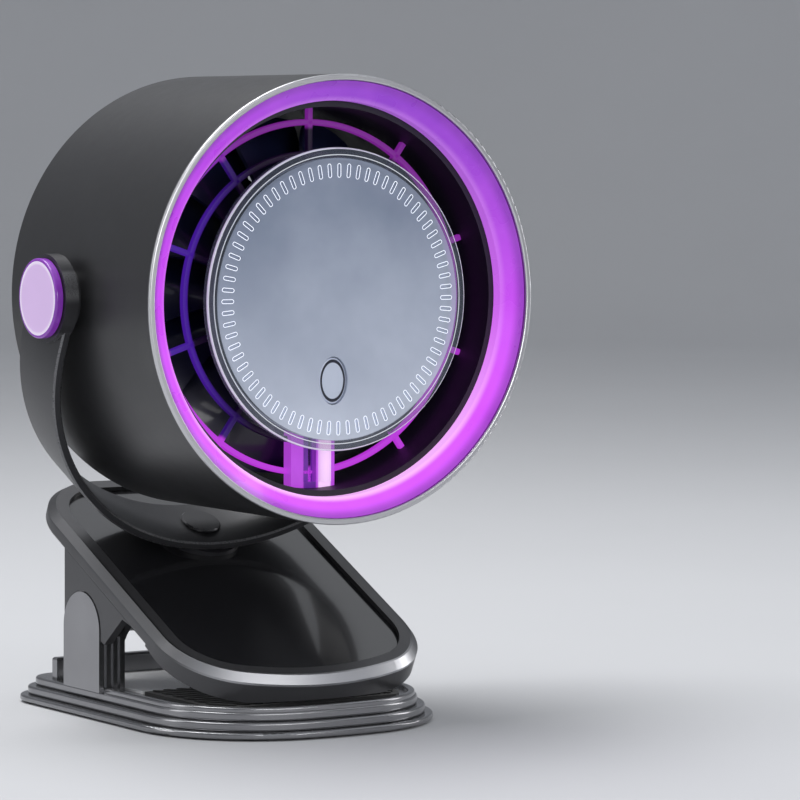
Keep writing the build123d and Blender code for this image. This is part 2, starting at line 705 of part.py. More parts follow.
def knob():
    inner = ARM_BOSS_X + KNOB_GAP
    body = cross_rod(KNOB_RADIUS, inner, KNOB_FACE_X)
    rim = [e for e in body.edges() if abs(e.center().X - KNOB_FACE_X) < 1e-3 and e.geom_type == GeomType.CIRCLE]
    body = fillet(rim, 0.6)
    body += cross_rod(PIVOT_SCREW_HEAD_RADIUS - 0.4, ARM_BOSS_X - 0.4, inner)
    return body - cross_rod(KNOB_CAP_RADIUS, KNOB_FACE_X - KNOB_CAP_THICK, KNOB_FACE_X + 1)


def knob_cap():
    return cross_rod(KNOB_CAP_RADIUS, KNOB_FACE_X - KNOB_CAP_THICK, KNOB_FACE_X)


def pivot_screw():
    shank = cross_rod(PIVOT_SCREW_RADIUS, DUCT_RADIUS + DUCT_WALL + 2, YOKE_RADIUS)
    head = cross_rod(PIVOT_SCREW_HEAD_RADIUS, YOKE_RADIUS, ARM_BOSS_X - 0.4)
    return shank + head


# ---- head ----
def head_shell():
    shell = disc(DRUM_RADIUS, -DRUM_REAR, DRUM_FRONT - RIM_DEPTH)
    shell = fillet(level_edges(shell, -DRUM_REAR), DRUM_REAR_ROUND)
    shell -= disc(DRUM_INNER, -DRUM_REAR + REAR_GRILLE_THICK, DRUM_FRONT)
    shell -= disc(REAR_GRILLE_RADIUS + 0.1, -DRUM_REAR - 1, -DRUM_REAR + REAR_GRILLE_THICK + 1)
    side = PIVOT_BOSS_RADIUS
    boss_end = ARM_INNER_X - ARM_SIDE_GAP
    for x0, x1 in ((DRUM_INNER - 2, boss_end), (-boss_end, -DRUM_INNER + 2)):
        boss = cross_rod(side, x0, x1)
        shell += boss
    for x0, x1 in ((50, 100), (-100, -50)):
        shell -= cross_rod(PIVOT_BUSH_RADIUS, x0, x1)
    for angle in around(HEAD_SCREW_COUNT, 45):
        shell -= Rot(0, 0, angle) * (Pos(DRUM_INNER - 5, 0) * disc(SCREW_RADIUS, -50, 0))
        shell -= Rot(0, 0, angle) * (
            Pos(DRUM_INNER - 5, 0) * disc(SCREW_HEAD_RADIUS, -50, -DRUM_REAR + SCREW_HEAD_THICK)
        )
    return shell


def pivot_bush():
    bush = cross_rod(PIVOT_BUSH_RADIUS, RING_INNER_RADIUS + 1.5, ARM_INNER_X - ARM_SIDE_GAP)
    return bush - cross_rod(PIVOT_SCREW_RADIUS + RUN_GAP, 0, 100)


def front_rim():
    ring = tube(DRUM_RADIUS, DRUM_RADIUS - RIM_WIDTH, DRUM_FRONT - RIM_DEPTH, DRUM_FRONT)
    return fillet(level_edges(ring, DRUM_FRONT), 0.6)


def light_ring():
    outer = DRUM_INNER
    wall = RING_WALL
    points = (
        (RING_INNER_RADIUS, RING_BACK),
        (RING_INNER_RADIUS, RING_INNER_FRONT),
        (outer, RING_OUTER_FRONT),
        (outer, RING_BACK),
        (outer - wall, RING_BACK),
        (outer - wall, RING_OUTER_FRONT - 2.4),
        (RING_INNER_RADIUS + wall, RING_INNER_FRONT - 0.6),
        (RING_INNER_RADIUS + wall, RING_BACK),
    )
    face = Plane.XZ * make_face(Polyline(*points, close=True))
    return revolve(face, Axis.Z)


def light_board():
    board = tube(DRUM_INNER, RING_INNER_RADIUS, RING_BACK - BOARD_THICK, RING_BACK)
    middle = (DRUM_INNER + RING_INNER_RADIUS) / 2
    for angle in around(LIGHT_COUNT):
        led = Pos(middle, 0, RING_BACK + 0.5) * Box(2.0, 3.0, 1.0)
        board += Rot(0, 0, angle) * led
    return board


def duct_liner():
    rear = -DRUM_REAR + REAR_GRILLE_THICK
    liner = tube(RING_INNER_RADIUS, DUCT_RADIUS, rear, RING_BACK)
    liner += tube(DRUM_INNER, RING_INNER_RADIUS, RING_BACK - BOARD_THICK - 1.6, RING_BACK - BOARD_THICK)
    for angle in around(HEAD_SCREW_COUNT, 45):
        boss = Pos(DRUM_INNER - 5, 0) * disc(BOSS_RADIUS, rear, rear + 8)
        boss -= Pos(DRUM_INNER - 5, 0) * disc(SCREW_RADIUS, rear - 1, rear + 9)
        arm = box_between(RING_INNER_RADIUS - 0.5, DRUM_INNER - 5, -1, 1, rear, rear + 8)
        arm -= Pos(DRUM_INNER - 5, 0) * disc(SCREW_RADIUS, rear - 1, rear + 9)
        liner += Rot(0, 0, angle) * (boss + arm)
    return liner


def wire_duct_block():
    half = WIRE_DUCT_WIDTH / 2
    block = box_between(-half, half, -DUCT_RADIUS, -WIRE_DUCT_INNER, WIRE_DUCT_BACK, WIRE_DUCT_FRONT)
    return block & disc(DUCT_RADIUS, 0, 60)


def front_grille():
    back = GRILLE_FRONT - GRILLE_THICK
    grille = disc(GRILLE_HUB, back, GRILLE_FRONT)
    for radius in GRILLE_RING_RADII:
        grille += tube(radius + GRILLE_BAR / 2, radius - GRILLE_BAR / 2, back, GRILLE_FRONT)
    for angle in around(GRILLE_RIBS, 90):
        rib = box_between(GRILLE_HUB - 2, DUCT_RADIUS, -GRILLE_BAR / 2, GRILLE_BAR / 2, back, GRILLE_FRONT)
        grille += Rot(0, 0, angle) * rib & disc(DUCT_RADIUS, back - 1, GRILLE_FRONT + 1)
    grille -= wire_duct_block()
    return grille


def wire_duct():
    block = wire_duct_block()
    front = WIRE_DUCT_FRONT
    groove = box_between(-3.6, 1.2, -DUCT_RADIUS + 2, -WIRE_DUCT_INNER + 2, front - 2.2, front + 1)
    block -= groove
    clip = Pos(4.6, -(DUCT_RADIUS + WIRE_DUCT_INNER) / 2 - 1.0, front - 0.4)
    return block + clip * Rot(90, 0, 0) * Cylinder(2.4, DUCT_RADIUS - WIRE_DUCT_INNER - 6)


def panel_stem():
    stem = disc(STEM_RADIUS, GRILLE_FRONT, HOUSING_BACK)
    return stem - disc(STEM_RADIUS - 3, GRILLE_FRONT + 2, HOUSING_BACK)


def panel_housing():
    cup = disc(HOUSING_RADIUS, HOUSING_BACK, PANEL_DISC_BACK)
    cup = fillet(level_edges(cup, HOUSING_BACK), 2.0)
    cup -= disc(HOUSING_RADIUS - HOUSING_WALL, HOUSING_BACK + HOUSING_WALL, 60)
    ledge = HOUSING_BACK + HOUSING_WALL
    cup += tube(CONTROL_BOARD_RADIUS, CONTROL_BOARD_RADIUS - 3, ledge - 0.1, ledge + 0.8)
    return cup


def button_outline(grow):
    return Pos(BUTTON_X, BUTTON_Y) * Ellipse(BUTTON_WIDTH / 2 + grow, BUTTON_HEIGHT / 2 + grow)


def tick_slot():
    middle = (TICK_INNER + TICK_OUTER) / 2
    return Pos(middle, 0) * SlotOverall(TICK_OUTER - TICK_INNER, TICK_WIDTH)


def control_panel():
    panel = disc(PANEL_RADIUS, PANEL_DISC_BACK, PANEL_FRONT)
    panel = fillet(level_edges(panel, PANEL_FRONT), 0.8)
    panel -= slab(button_outline(BUTTON_GAP), PANEL_DISC_BACK - 1, PANEL_FRONT + 1)
    pocket = slab(tick_slot(), PANEL_FRONT - TICK_DEPTH, PANEL_FRONT + 1)
    return panel - [Rot(0, 0, angle) * pocket for angle in around(TICK_COUNT)]


def tick_marks():
    tick = slab(tick_slot(), PANEL_FRONT - TICK_DEPTH, PANEL_FRONT)
    return [Rot(0, 0, angle) * tick for angle in around(TICK_COUNT)]


def control_board():
    low = HOUSING_BACK + HOUSING_WALL + 0.8
    board = disc(CONTROL_BOARD_RADIUS, low, low + BOARD_THICK)
    top = low + BOARD_THICK
    switch_top = PANEL_DISC_BACK - BUTTON_TRAVEL - 0.2
    half = SWITCH_SIZE / 2
    board += box_between(
        BUTTON_X - half, BUTTON_X + half, BUTTON_Y - half, BUTTON_Y + half, top, switch_top
    )
    for x, y, w in ((0, 4, 10), (-16, 10, 6), (15, 8, 7), (8, -12, 5), (-14, -8, 5)):
        board += box_between(x - w / 2, x + w / 2, y - w / 2, y + w / 2, top, top + 1.1)
    return board


def power_button():
    front = PANEL_FRONT - BUTTON_RECESS
    cap = slab(button_outline(0), PANEL_DISC_BACK, front)
    cap = fillet(level_edges(cap, front), 0.5)
    return cap


def motor_mount():
    back = MOUNT_FRONT - MOUNT_THICK
    mount = disc(MOUNT_CUP_RADIUS, back, MOUNT_FRONT)
    for angle in around(MOUNT_ARMS, 54):
        arm = box_between(0, DUCT_RADIUS, -MOUNT_ARM_WIDTH / 2, MOUNT_ARM_WIDTH / 2, back, MOUNT_FRONT)
        mount += Rot(0, 0, angle) * arm & disc(DUCT_RADIUS, back - 1, MOUNT_FRONT + 1)
    return mount - disc(SHAFT_RADIUS + 0.8, back - 1, MOUNT_FRONT + 1)


def motor_stator():
    front = IMPELLER_FRONT - HUB_WALL - ROTOR_WALL - 2.0
    core = disc(4.5, MOUNT_FRONT, front)
    for angle in around(9):
        tooth = box_between(3, STATOR_RADIUS - 2.5, -1.1, 1.1, MOUNT_FRONT + 5, front - 3)
        core += Rot(0, 0, angle) * tooth
        shoe = box_between(STATOR_RADIUS - 3.0, STATOR_RADIUS - 0.8, -3.4, 3.4, MOUNT_FRONT + 4, front - 2)
        core += Rot(0, 0, angle) * shoe
    core &= disc(STATOR_RADIUS, MOUNT_FRONT, front)
    core += disc(9.0, MOUNT_FRONT, MOUNT_FRONT + 2)
    return core - disc(SHAFT_RADIUS + RUN_GAP, MOUNT_FRONT - 1, front + 1)


def motor_rotor():
    front = IMPELLER_FRONT - HUB_WALL
    bell = disc(ROTOR_RADIUS, MOUNT_FRONT + 3, front)
    bell -= disc(ROTOR_RADIUS - ROTOR_WALL, MOUNT_FRONT + 2, front - ROTOR_WALL)
    return bell - disc(SHAFT_RADIUS, 0, 60)


def motor_shaft():
    return disc(SHAFT_RADIUS, MOUNT_FRONT - MOUNT_THICK + 1, IMPELLER_FRONT - HUB_WALL)


def blade():
    """One twisted blade, lofted from hub to tip."""
    middle = (IMPELLER_BACK + IMPELLER_FRONT) / 2 + 0.5
    sections = []
    steps = (
        (IMPELLER_HUB_RADIUS - 0.8, BLADE_ROOT_CHORD, BLADE_ROOT_PITCH),
        (IMPELLER_RADIUS, BLADE_TIP_CHORD, BLADE_TIP_PITCH),
    )
    for radius, chord, pitch in steps:
        profile = SlotOverall(chord, BLADE_THICK)
        plane = Plane(origin=(radius, 0, middle), x_dir=(0, cos(radians(pitch)), sin(radians(pitch))),
                      z_dir=(1, 0, 0))
        sections.append(plane * profile)
    return loft(sections)


def impeller():
    hub = disc(IMPELLER_HUB_RADIUS, IMPELLER_BACK, IMPELLER_FRONT)
    hub = fillet(level_edges(hub, IMPELLER_FRONT), 3.0)
    hub -= disc(ROTOR_RADIUS, IMPELLER_BACK - 1, IMPELLER_FRONT - HUB_WALL)
    one = blade() & disc(IMPELLER_RADIUS, -30, 60)
    for angle in around(BLADE_COUNT):
        hub += Rot(0, 0, angle) * one
    return hub


def rear_grille():
    low = -DRUM_REAR
    high = low + REAR_GRILLE_THICK
    grille = disc(REAR_HUB_RADIUS, low, high)
    radius = REAR_GRILLE_RADIUS
    grille += tube(radius, radius - 2.5, low, high)
    radius -= REAR_RING_STEP
    while radius > REAR_HUB_RADIUS + REAR_RING_STEP / 2:
        grille += tube(radius + REAR_RING_BAR / 2, radius - REAR_RING_BAR / 2, low, high)
        radius -= REAR_RING_STEP
    for angle in around(REAR_RIBS):
        rib = box_between(REAR_HUB_RADIUS - 2, REAR_GRILLE_RADIUS - 1, -REAR_RING_BAR / 2,
                          REAR_RING_BAR / 2, low, high)
        grille += Rot(0, 0, angle) * rib
    return grille


def head_screws():
    low = -DRUM_REAR
    screw = disc(SCREW_RADIUS, low + SCREW_HEAD_THICK, low + 9)
    screw += disc(SCREW_HEAD_RADIUS, low, low + SCREW_HEAD_THICK)
    screw -= slab(RegularPolygon(SCREW_RADIUS * 0.8, 6), low - 1, low + SCREW_HEAD_THICK / 2)
    return [Rot(0, 0, angle) * (Pos(DRUM_INNER - 5, 0) * screw) for angle in around(HEAD_SCREW_COUNT, 45)]


# ---- write every node ----
def solids_of(shape):
    """Flatten nested lists of shapes into single solids."""
    if isinstance(shape, (list, tuple)):
        return [s for item in shape for s in solids_of(item)]
    return list(shape.solids())


def save(name, shape):
    solids = solids_of(shape)
    node = solids[0] if len(solids) == 1 else Compound(children=solids)
    node.label = name
    export_step(node, os.path.join("parts", name + ".step"))


def sloping(place, shape):
    return [place(s) for s in solids_of(shape)]


def main():
    os.makedirs("parts", exist_ok=True)
    save("lower_jaw", lower_jaw())
    save("base_cover", base_cover())
    save("base_feet", base_feet())
    save("base_screws", base_screws())
    save("battery_pack", battery_pack())
    save("charge_board", charge_board())
    save("usb_socket", usb_socket())
    save("tray_plate", tray_plate())
    save("lower_pad", lower_pad())
    save("hinge_pin", hinge_pin())
    save("torsion_spring", torsion_spring())
    for name, build in (
        ("upper_jaw", upper_jaw), ("jaw_trim", jaw_trim), ("jaw_panel", jaw_panel),
        ("jaw_cover", jaw_cover), ("jaw_screws", jaw_screws), ("upper_pad", upper_pad),
        ("swivel_bush", swivel_bush),
    ):
        save(name, sloping(in_jaw, build()))
    for name, build in (
        ("yoke", yoke), ("swivel_post", swivel_post), ("swivel_disc", swivel_disc),
        ("swivel_washer", swivel_washer), ("swivel_nut", swivel_nut),
    ):
        save(name, sloping(in_yoke, build()))
    for side, flip in (("right", False), ("left", True)):
        for name, build in (("knob", knob), ("knob_cap", knob_cap)):
            shape = mirror(build(), about=Plane.YZ) if flip else build()
            save(name + "_" + side, sloping(in_yoke, shape))
    save("pivot_screws", sloping(in_yoke, both_sides(pivot_screw())))
    for name, build in (
        ("head_shell", head_shell), ("front_rim", front_rim), ("light_ring", light_ring),
        ("light_board", light_board), ("duct_liner", duct_liner), ("front_grille", front_grille),
        ("wire_duct", wire_duct), ("panel_stem", panel_stem), ("panel_housing", panel_housing),
        ("control_panel", control_panel), ("tick_marks", tick_marks),
        ("control_board", control_board), ("power_button", power_button),
        ("motor_mount", motor_mount), ("motor_stator", motor_stator),
        ("motor_rotor", motor_rotor), ("motor_shaft", motor_shaft), ("impeller", impeller),
        ("rear_grille", rear_grille), ("head_screws", head_screws),
    ):
        save(name, sloping(in_head, build()))
    save("pivot_bushes", sloping(in_head, both_sides(pivot_bush())))


main()
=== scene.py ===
"""Detailed pieces and surface finishes of a clip-on desk fan, built round its CAD frame."""

import json
from math import cos, pi, radians, sin

import bmesh
import bpy
from bpy.props import FloatProperty, FloatVectorProperty, IntProperty, PointerProperty
from mathutils import Matrix, Vector

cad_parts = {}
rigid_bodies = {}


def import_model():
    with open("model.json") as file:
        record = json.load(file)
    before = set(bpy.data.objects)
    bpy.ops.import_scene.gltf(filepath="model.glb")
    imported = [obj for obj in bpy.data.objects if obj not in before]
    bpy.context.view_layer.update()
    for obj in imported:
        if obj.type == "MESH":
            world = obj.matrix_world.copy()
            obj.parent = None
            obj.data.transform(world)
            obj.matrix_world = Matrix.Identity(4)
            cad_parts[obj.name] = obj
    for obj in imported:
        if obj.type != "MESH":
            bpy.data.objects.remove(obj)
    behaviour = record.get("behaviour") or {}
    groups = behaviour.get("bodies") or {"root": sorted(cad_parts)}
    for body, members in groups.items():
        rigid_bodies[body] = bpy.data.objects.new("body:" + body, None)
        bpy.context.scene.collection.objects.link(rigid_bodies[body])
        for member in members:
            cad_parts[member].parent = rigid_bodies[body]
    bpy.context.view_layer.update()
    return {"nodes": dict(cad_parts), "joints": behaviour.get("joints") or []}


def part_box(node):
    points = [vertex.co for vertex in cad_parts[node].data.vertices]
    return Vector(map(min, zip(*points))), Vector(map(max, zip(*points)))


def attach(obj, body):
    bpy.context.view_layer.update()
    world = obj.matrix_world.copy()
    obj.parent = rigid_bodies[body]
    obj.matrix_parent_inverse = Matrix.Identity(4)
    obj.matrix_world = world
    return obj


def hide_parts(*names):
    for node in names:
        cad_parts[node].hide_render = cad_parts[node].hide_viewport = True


bl_info = {
    "name": "Clip-on desk fan",
    "version": (1, 0, 0),
    "blender": (4, 5, 0),
    "location": "3D View > Sidebar > Desk fan",
    "description": "Builds the detailed pieces and surface finishes of a clip-on desk fan",
    "category": "Object",
}

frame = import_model()


# ---- where things are ----
def middle(node):
    low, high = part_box(node)
    return (low + high) / 2


PIVOT = middle("knob_right").copy()
PIVOT.x = 0.0
HEAD_TURN = Matrix.Rotation(radians(90), 4, "X")          # local +Z looks along the air stream, -Y
SWIVEL_AXIS = next(Vector(j["axis"]) for j in frame["joints"] if j["name"] == "head_swivel").normalized()
UP_SLOPE = SWIVEL_AXIS.cross(Vector((-1, 0, 0)))


# Lengths in metres that the detailed pieces share.
TICK_LENGTH = 0.0048
INLET_FIRST_RING = 0.0196
INLET_BAR = 0.0020
INLET_HUB_RADIUS = 0.015
BLADES_BACK = 0.0008                # behind the middle of the hub
HUB_RADIUS = 0.021
HUB_BORE = 0.0162
HUB_WALL = 0.0018
HUB_ROUND = 0.0032
SCREW_HEAD_RADIUS = 0.0023
SCREW_HEAD_HEIGHT = 0.0008
JAW_SCREW_DROP = 0.0021             # from the screws' middle to their heads, down the swivel axis
JAW_SCREW_SPREAD = 0.086
JAW_SCREW_SHANK = 0.003
HEAD_SCREW_SHANK = 0.007
JAW_TRIM_SHADE_SPAN = (-0.062, -0.036)    # y where the painted highlight on the trim's front gives way to painted shade along its sides
FRONT_RIM_SHADE_SPAN = (0.0008, 0.0014)   # behind the rim's front face, where painted shade on its side begins and is full

# The view and the light.
VIEW_AT = (-0.71225, -1.19393, 0.19577)
VIEW_TURN, VIEW_TILT, VIEW_ROLL = radians(-33.08), radians(3.63), radians(0.3)
VIEW_LENS_MM = 182.97
SKY_STRENGTH = 0.70
SKY_COLOUR = (0.92, 0.95, 1.0, 1)


def head_place(front):
    """Placement whose local XY plane is the head's cross-section at row-frame depth y = front."""
    return Matrix.Translation((0, front, PIVOT.z)) @ HEAD_TURN


# ---- node trees written as Python ----
class Wire:
    """One socket of a tree. Arithmetic on wires adds Math nodes."""

    def __init__(self, tree, socket):
        self.tree, self.socket = tree, socket

    def math(self, operation, *terms, clamp=False):
        settings = {"operation": operation, "use_clamp": clamp}
        return self.tree.node("ShaderNodeMath", settings, dict(enumerate(terms)))

    def __add__(self, other):
        return self.math("ADD", self, other)

    def __radd__(self, other):
        return self.math("ADD", other, self)

    def __sub__(self, other):
        return self.math("SUBTRACT", self, other)

    def __rsub__(self, other):
        return self.math("SUBTRACT", other, self)

    def __mul__(self, other):
        return self.math("MULTIPLY", self, other)

    def __rmul__(self, other):
        return self.math("MULTIPLY", other, self)

    def __truediv__(self, other):
        return self.math("DIVIDE", self, other)

    def __pow__(self, other):
        return self.math("POWER", self, other)

    def __abs__(self):
        return self.math("ABSOLUTE", self)

    def root(self):
        return self.math("SQRT", self)

    def step(self, low, high):
        """0 below low, 1 above high, smooth between."""
        settings = {"interpolation_type": "SMOOTHSTEP"}
        sockets = {"Value": self, "From Min": low, "From Max": high}
        return self.tree.node("ShaderNodeMapRange", settings, sockets)


class Tree:
    """A node tree and the one call that adds any node to it."""

    def __init__(self, group):
        self.group = group

    def node(self, kind, settings=None, sockets=None, out=0):
        node = self.group.nodes.new(kind)
        for name, value in (settings or {}).items():
            setattr(node, name, value)
        for key, value in (sockets or {}).items():
            self.feed(node.inputs[key], value)
        return Wire(self, node.outputs[out]) if len(node.outputs) else Wire(self, None)

    def feed(self, socket, value):
        if isinstance(value, (list, tuple)) and any(isinstance(v, Wire) for v in value):
            for one in value:
                self.group.links.new(one.socket, socket)
        elif isinstance(value, Wire):
            self.group.links.new(value.socket, socket)
        else:
            socket.default_value = value

    def vector(self, x=0.0, y=0.0, z=0.0):
        return self.node("ShaderNodeCombineXYZ", {}, {0: x, 1: y, 2: z})


class Finish(Tree):
    """A procedural material."""

    def __init__(self, name):
        self.material = bpy.data.materials.new(name)
        self.material.use_nodes = True
        super().__init__(self.material.node_tree)
        self.group.nodes.clear()

    def place(self, output="Object"):
        return self.node("ShaderNodeTexCoord", {}, {}, output)

    def axes(self):
        source = self.place()
        return [self.node("ShaderNodeSeparateXYZ", {}, {0: source}, axis) for axis in range(3)]

    def moved(self, at=(0, 0, 0), turn=(0, 0, 0), scale=(1, 1, 1)):
        sockets = {"Vector": self.place(), "Location": at, "Rotation": turn, "Scale": scale}
        return self.node("ShaderNodeMapping", {}, sockets)

    def noise(self, scale, detail=3.0, rough=0.55, place=None):
        sockets = {"Vector": place or self.place(), "Scale": scale, "Detail": detail, "Roughness": rough}
        return self.node("ShaderNodeTexNoise", {}, sockets)

    def cells(self, scale, feature="F1", place=None):
        sockets = {"Vector": place or self.place(), "Scale": scale}
        return self.node("ShaderNodeTexVoronoi", {"feature": feature}, sockets)

    def blend(self, factor, first, second):
        first, second = (c if isinstance(c, Wire) else (*c, 1) for c in (first, second))
        return self.node("ShaderNodeMix", {"data_type": "RGBA"}, {0: factor, 6: first, 7: second}, 2)

    def bump(self, height, depth):
        return self.node("ShaderNodeBump", {}, {"Height": height, "Distance": depth, "Strength": 1.0})

    def coat(self, **sockets):
        """Ends the tree in a Principled surface. Keys are socket names with _ for a space."""
        named = {key.replace("_", " "): value for key, value in sockets.items()}
        for key, value in named.items():
            if key in ("Base Color", "Emission Color") and not isinstance(value, Wire):
                named[key] = (*value, 1)
        skin = self.node("ShaderNodeBsdfPrincipled", {}, named)
        self.node("ShaderNodeOutputMaterial", {}, {"Surface": skin})
        return self.material


class Pattern(Tree):
    """A geometry node group with named inputs, ending in Realize Instances and Set Material."""

    KINDS = {int: "NodeSocketInt", float: "NodeSocketFloat"}

    def __init__(self, name, **sizes):
        super().__init__(bpy.data.node_groups.new(name, "GeometryNodeTree"))
        face = self.group.interface
        face.new_socket(name="Geometry", in_out="OUTPUT", socket_type="NodeSocketGeometry")
        self.ids = {}
        for label, default in sizes.items():
            kind = self.KINDS[type(default)]
            socket = face.new_socket(name=label.replace("_", " "), in_out="INPUT", socket_type=kind)
            socket.default_value = default
            self.ids[label] = socket.identifier
        finish = face.new_socket(name="Finish", in_out="INPUT", socket_type="NodeSocketMaterial")
        self.ids["Finish"] = finish.identifier
        self.source = self.group.nodes.new("NodeGroupInput")

    def size(self, label):
        return Wire(self, self.source.outputs[label.replace("_", " ")])

    def tube(self, path, profile):
        sockets = {"Curve": path, "Profile Curve": profile, "Fill Caps": True}
        return self.node("GeometryNodeCurveToMesh", {}, sockets)

    def bar_section(self, width, depth, corner):
        box = self.node("GeometryNodeCurvePrimitiveQuadrilateral", {}, {"Width": width, "Height": depth})
        sockets = {"Curve": box, "Count": 3, "Radius": corner, "Limit Radius": True}
        return self.node("GeometryNodeFilletCurve", {"mode": "POLY"}, sockets)

    def spots(self, count):
        """That many points, all at the origin."""
        return self.node("GeometryNodeMeshLine", {"mode": "OFFSET"}, {"Count": count, "Offset": (0, 0, 0)})

    def on(self, points, shape, **sockets):
        sockets = {"Points": points, "Instance": shape, **sockets}
        return self.node("GeometryNodeInstanceOnPoints", {}, sockets)

    def index(self):
        return self.node("GeometryNodeInputIndex")

    def join(self, *shapes):
        return self.node("GeometryNodeJoinGeometry", {}, {0: list(shapes)[::-1]})

    def realize(self, shape):
        return self.node("GeometryNodeRealizeInstances", {}, {0: shape})

    def end(self, shape):
        shape = self.realize(shape)
        sockets = {"Geometry": shape, "Material": self.size("Finish")}
        shape = self.node("GeometryNodeSetMaterial", {}, sockets)
        self.node("NodeGroupOutput", {}, {0: shape})
        return self


# ---- pieces ----
def settle(piece, smooth=35.0):
    """Shades a finished piece smooth, with its edges over that many degrees kept crisp."""
    piece.data.shade_smooth()
    piece.data.set_sharp_from_angle(angle=radians(smooth))
    return piece


def link(name, mesh):
    piece = bpy.data.objects.new(name, mesh)
    bpy.context.scene.collection.objects.link(piece)
    return piece


def baked(piece):
    """Turns what the modifiers give into the piece's own mesh."""
    graph = bpy.context.evaluated_depsgraph_get()
    mesh = bpy.data.meshes.new_from_object(piece.evaluated_get(graph))
    piece.modifiers.clear()
    piece.data = mesh
    return piece


def grown(name, pattern, finish, place, thicken=0.0, **values):
    """Runs a pattern once and keeps the result as a plain mesh, placed in the row frame."""
    piece = link(name, bpy.data.meshes.new(name))
    modifier = piece.modifiers.new("Pattern", "NODES")
    modifier.node_group = pattern.group
    modifier[pattern.ids["Finish"]] = finish
    for label, value in values.items():
        modifier[pattern.ids[label]] = value
    baked(piece)
    if thicken:
        wall = piece.modifiers.new("Wall", "SOLIDIFY")
        wall.thickness, wall.offset = thicken, 0.0
        baked(piece)
    piece.data.transform(place)
    outward(piece)
    return settle(piece)


def outward(piece):
    shape = bmesh.new()
    shape.from_mesh(piece.data)
    bmesh.ops.remove_doubles(shape, verts=shape.verts, dist=1e-7)
    bmesh.ops.recalc_face_normals(shape, faces=shape.faces)
    shape.to_mesh(piece.data)
    shape.free()


def turned(name, outline, finish, place, steps=128, smooth=35.0, closed=True):
    """An outline of (radius, height) points turned about local Z."""
    shape = bmesh.new()
    rings = []
    for radius, height in outline:
        if radius < 1e-6:
            rings.append([shape.verts.new((0, 0, height))] * steps)
            continue
        angles = [2 * pi * i / steps for i in range(steps)]
        rings.append([shape.verts.new((radius * cos(a), radius * sin(a), height)) for a in angles])
    for i in range(len(rings) - (0 if closed and outline[0][0] > 1e-6 else 1)):
        first, second = rings[i], rings[(i + 1) % len(rings)]
        for j in range(steps):
            k = (j + 1) % steps
            corners = dict.fromkeys((first[j], first[k], second[k], second[j]))
            if len(corners) > 2:
                shape.faces.new(tuple(corners))
    bmesh.ops.recalc_face_normals(shape, faces=shape.faces)
    mesh = bpy.data.meshes.new(name)
    shape.to_mesh(mesh)
    shape.free()
    mesh.transform(place)
    mesh.materials.append(finish)
    return settle(link(name, mesh), smooth)


def arc(centre, radius, start, end, steps=6):
    """Points of an arc in degrees, for a turned outline."""
    turns = [radians(start + (end - start) * i / steps) for i in range(steps + 1)]
    return [(centre[0] + radius * cos(a), centre[1] + radius * sin(a)) for a in turns]


def put(piece, body, slot, *nodes):
    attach(piece, body)
    if nodes:
        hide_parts(*nodes)
    return piece


# ---- finishes ----
def satin(name, colour, roughness, metal=0.0, grain=8e-6, sheen_coat=0.0):
    """Painted or moulded satin skin: fine orange peel, faint handling marks, a few dust specks."""
    f = Finish(name)
    peel = f.noise(1500, 2) + f.noise(5200, 2) * 0.5
    handling = f.noise(38, 4).step(0.35, 0.75)
    dust = 1 - f.cells(700).step(0.03, 0.07)
    dusty = dust * f.noise(90, 2).step(0.55, 0.66) * 0.22
    light = [min(1.0, c * 1.18 + 0.003) for c in colour]
    tone = f.blend(handling * 0.55 + f.noise(900, 2) * 0.2, colour, light)
    tone = f.blend(dusty, tone, (0.22, 0.22, 0.23))
    rough = roughness - handling * 0.04 + (f.noise(260, 4) - 0.5) * 0.07 + dusty * 0.3
    return f.coat(Base_Color=tone, Metallic=metal, Roughness=rough, Normal=f.bump(peel, grain),
                  Coat_Weight=sheen_coat, Coat_Roughness=0.22)


def gloss_black(name, colour):
    """Piano-black lacquer with hairline swirls and specks."""
    f = Finish(name)
    swirl = f.noise(60, 2, place=f.moved(scale=(1, 9, 1)))
    hair = f.noise(900, 3, place=f.moved(turn=(0.3, 0.2, 0.6), scale=(1, 22, 1))).step(0.60, 0.72)
    specks = 1 - f.cells(520).step(0.025, 0.05)
    specks = specks * f.noise(120, 2).step(0.50, 0.60)
    tone = f.blend(specks * 0.5, colour, (0.25, 0.25, 0.26))
    rough = 0.13 + swirl * 0.07 + hair * 0.05 + specks * 0.25
    return f.coat(Base_Color=tone, Roughness=rough, Normal=f.bump(f.noise(420, 2), 4e-6), Coat_Weight=0.6,
                  Coat_Roughness=0.06)


def trim_silver(name, colour, shade_span):
    """Bright turned aluminium with faint lines along its edge, painted dark as shade over the shade span,
    front to back, so only its front keeps a painted highlight.
    """
    f = Finish(name)
    y = f.axes()[1]
    lines = f.noise(2400, 2, place=f.moved(scale=(0.03, 1, 1)))
    stain = f.noise(70, 4)
    # painted shade: the metal is painted dark grey along its sides and back; the bright front stands for a
    # painted highlight
    side = y.step(shade_span[0], shade_span[1]) * 0.95
    tone = f.blend(lines * 0.16 + stain * 0.14, colour, [c * 0.78 for c in colour])
    tone = f.blend(side, tone, (0.06, 0.06, 0.063))
    rough = 0.26 + lines * 0.05 + stain * 0.04 + side * 0.10
    return f.coat(Base_Color=tone, Metallic=1.0, Roughness=rough, Normal=f.bump(lines, 5e-7))


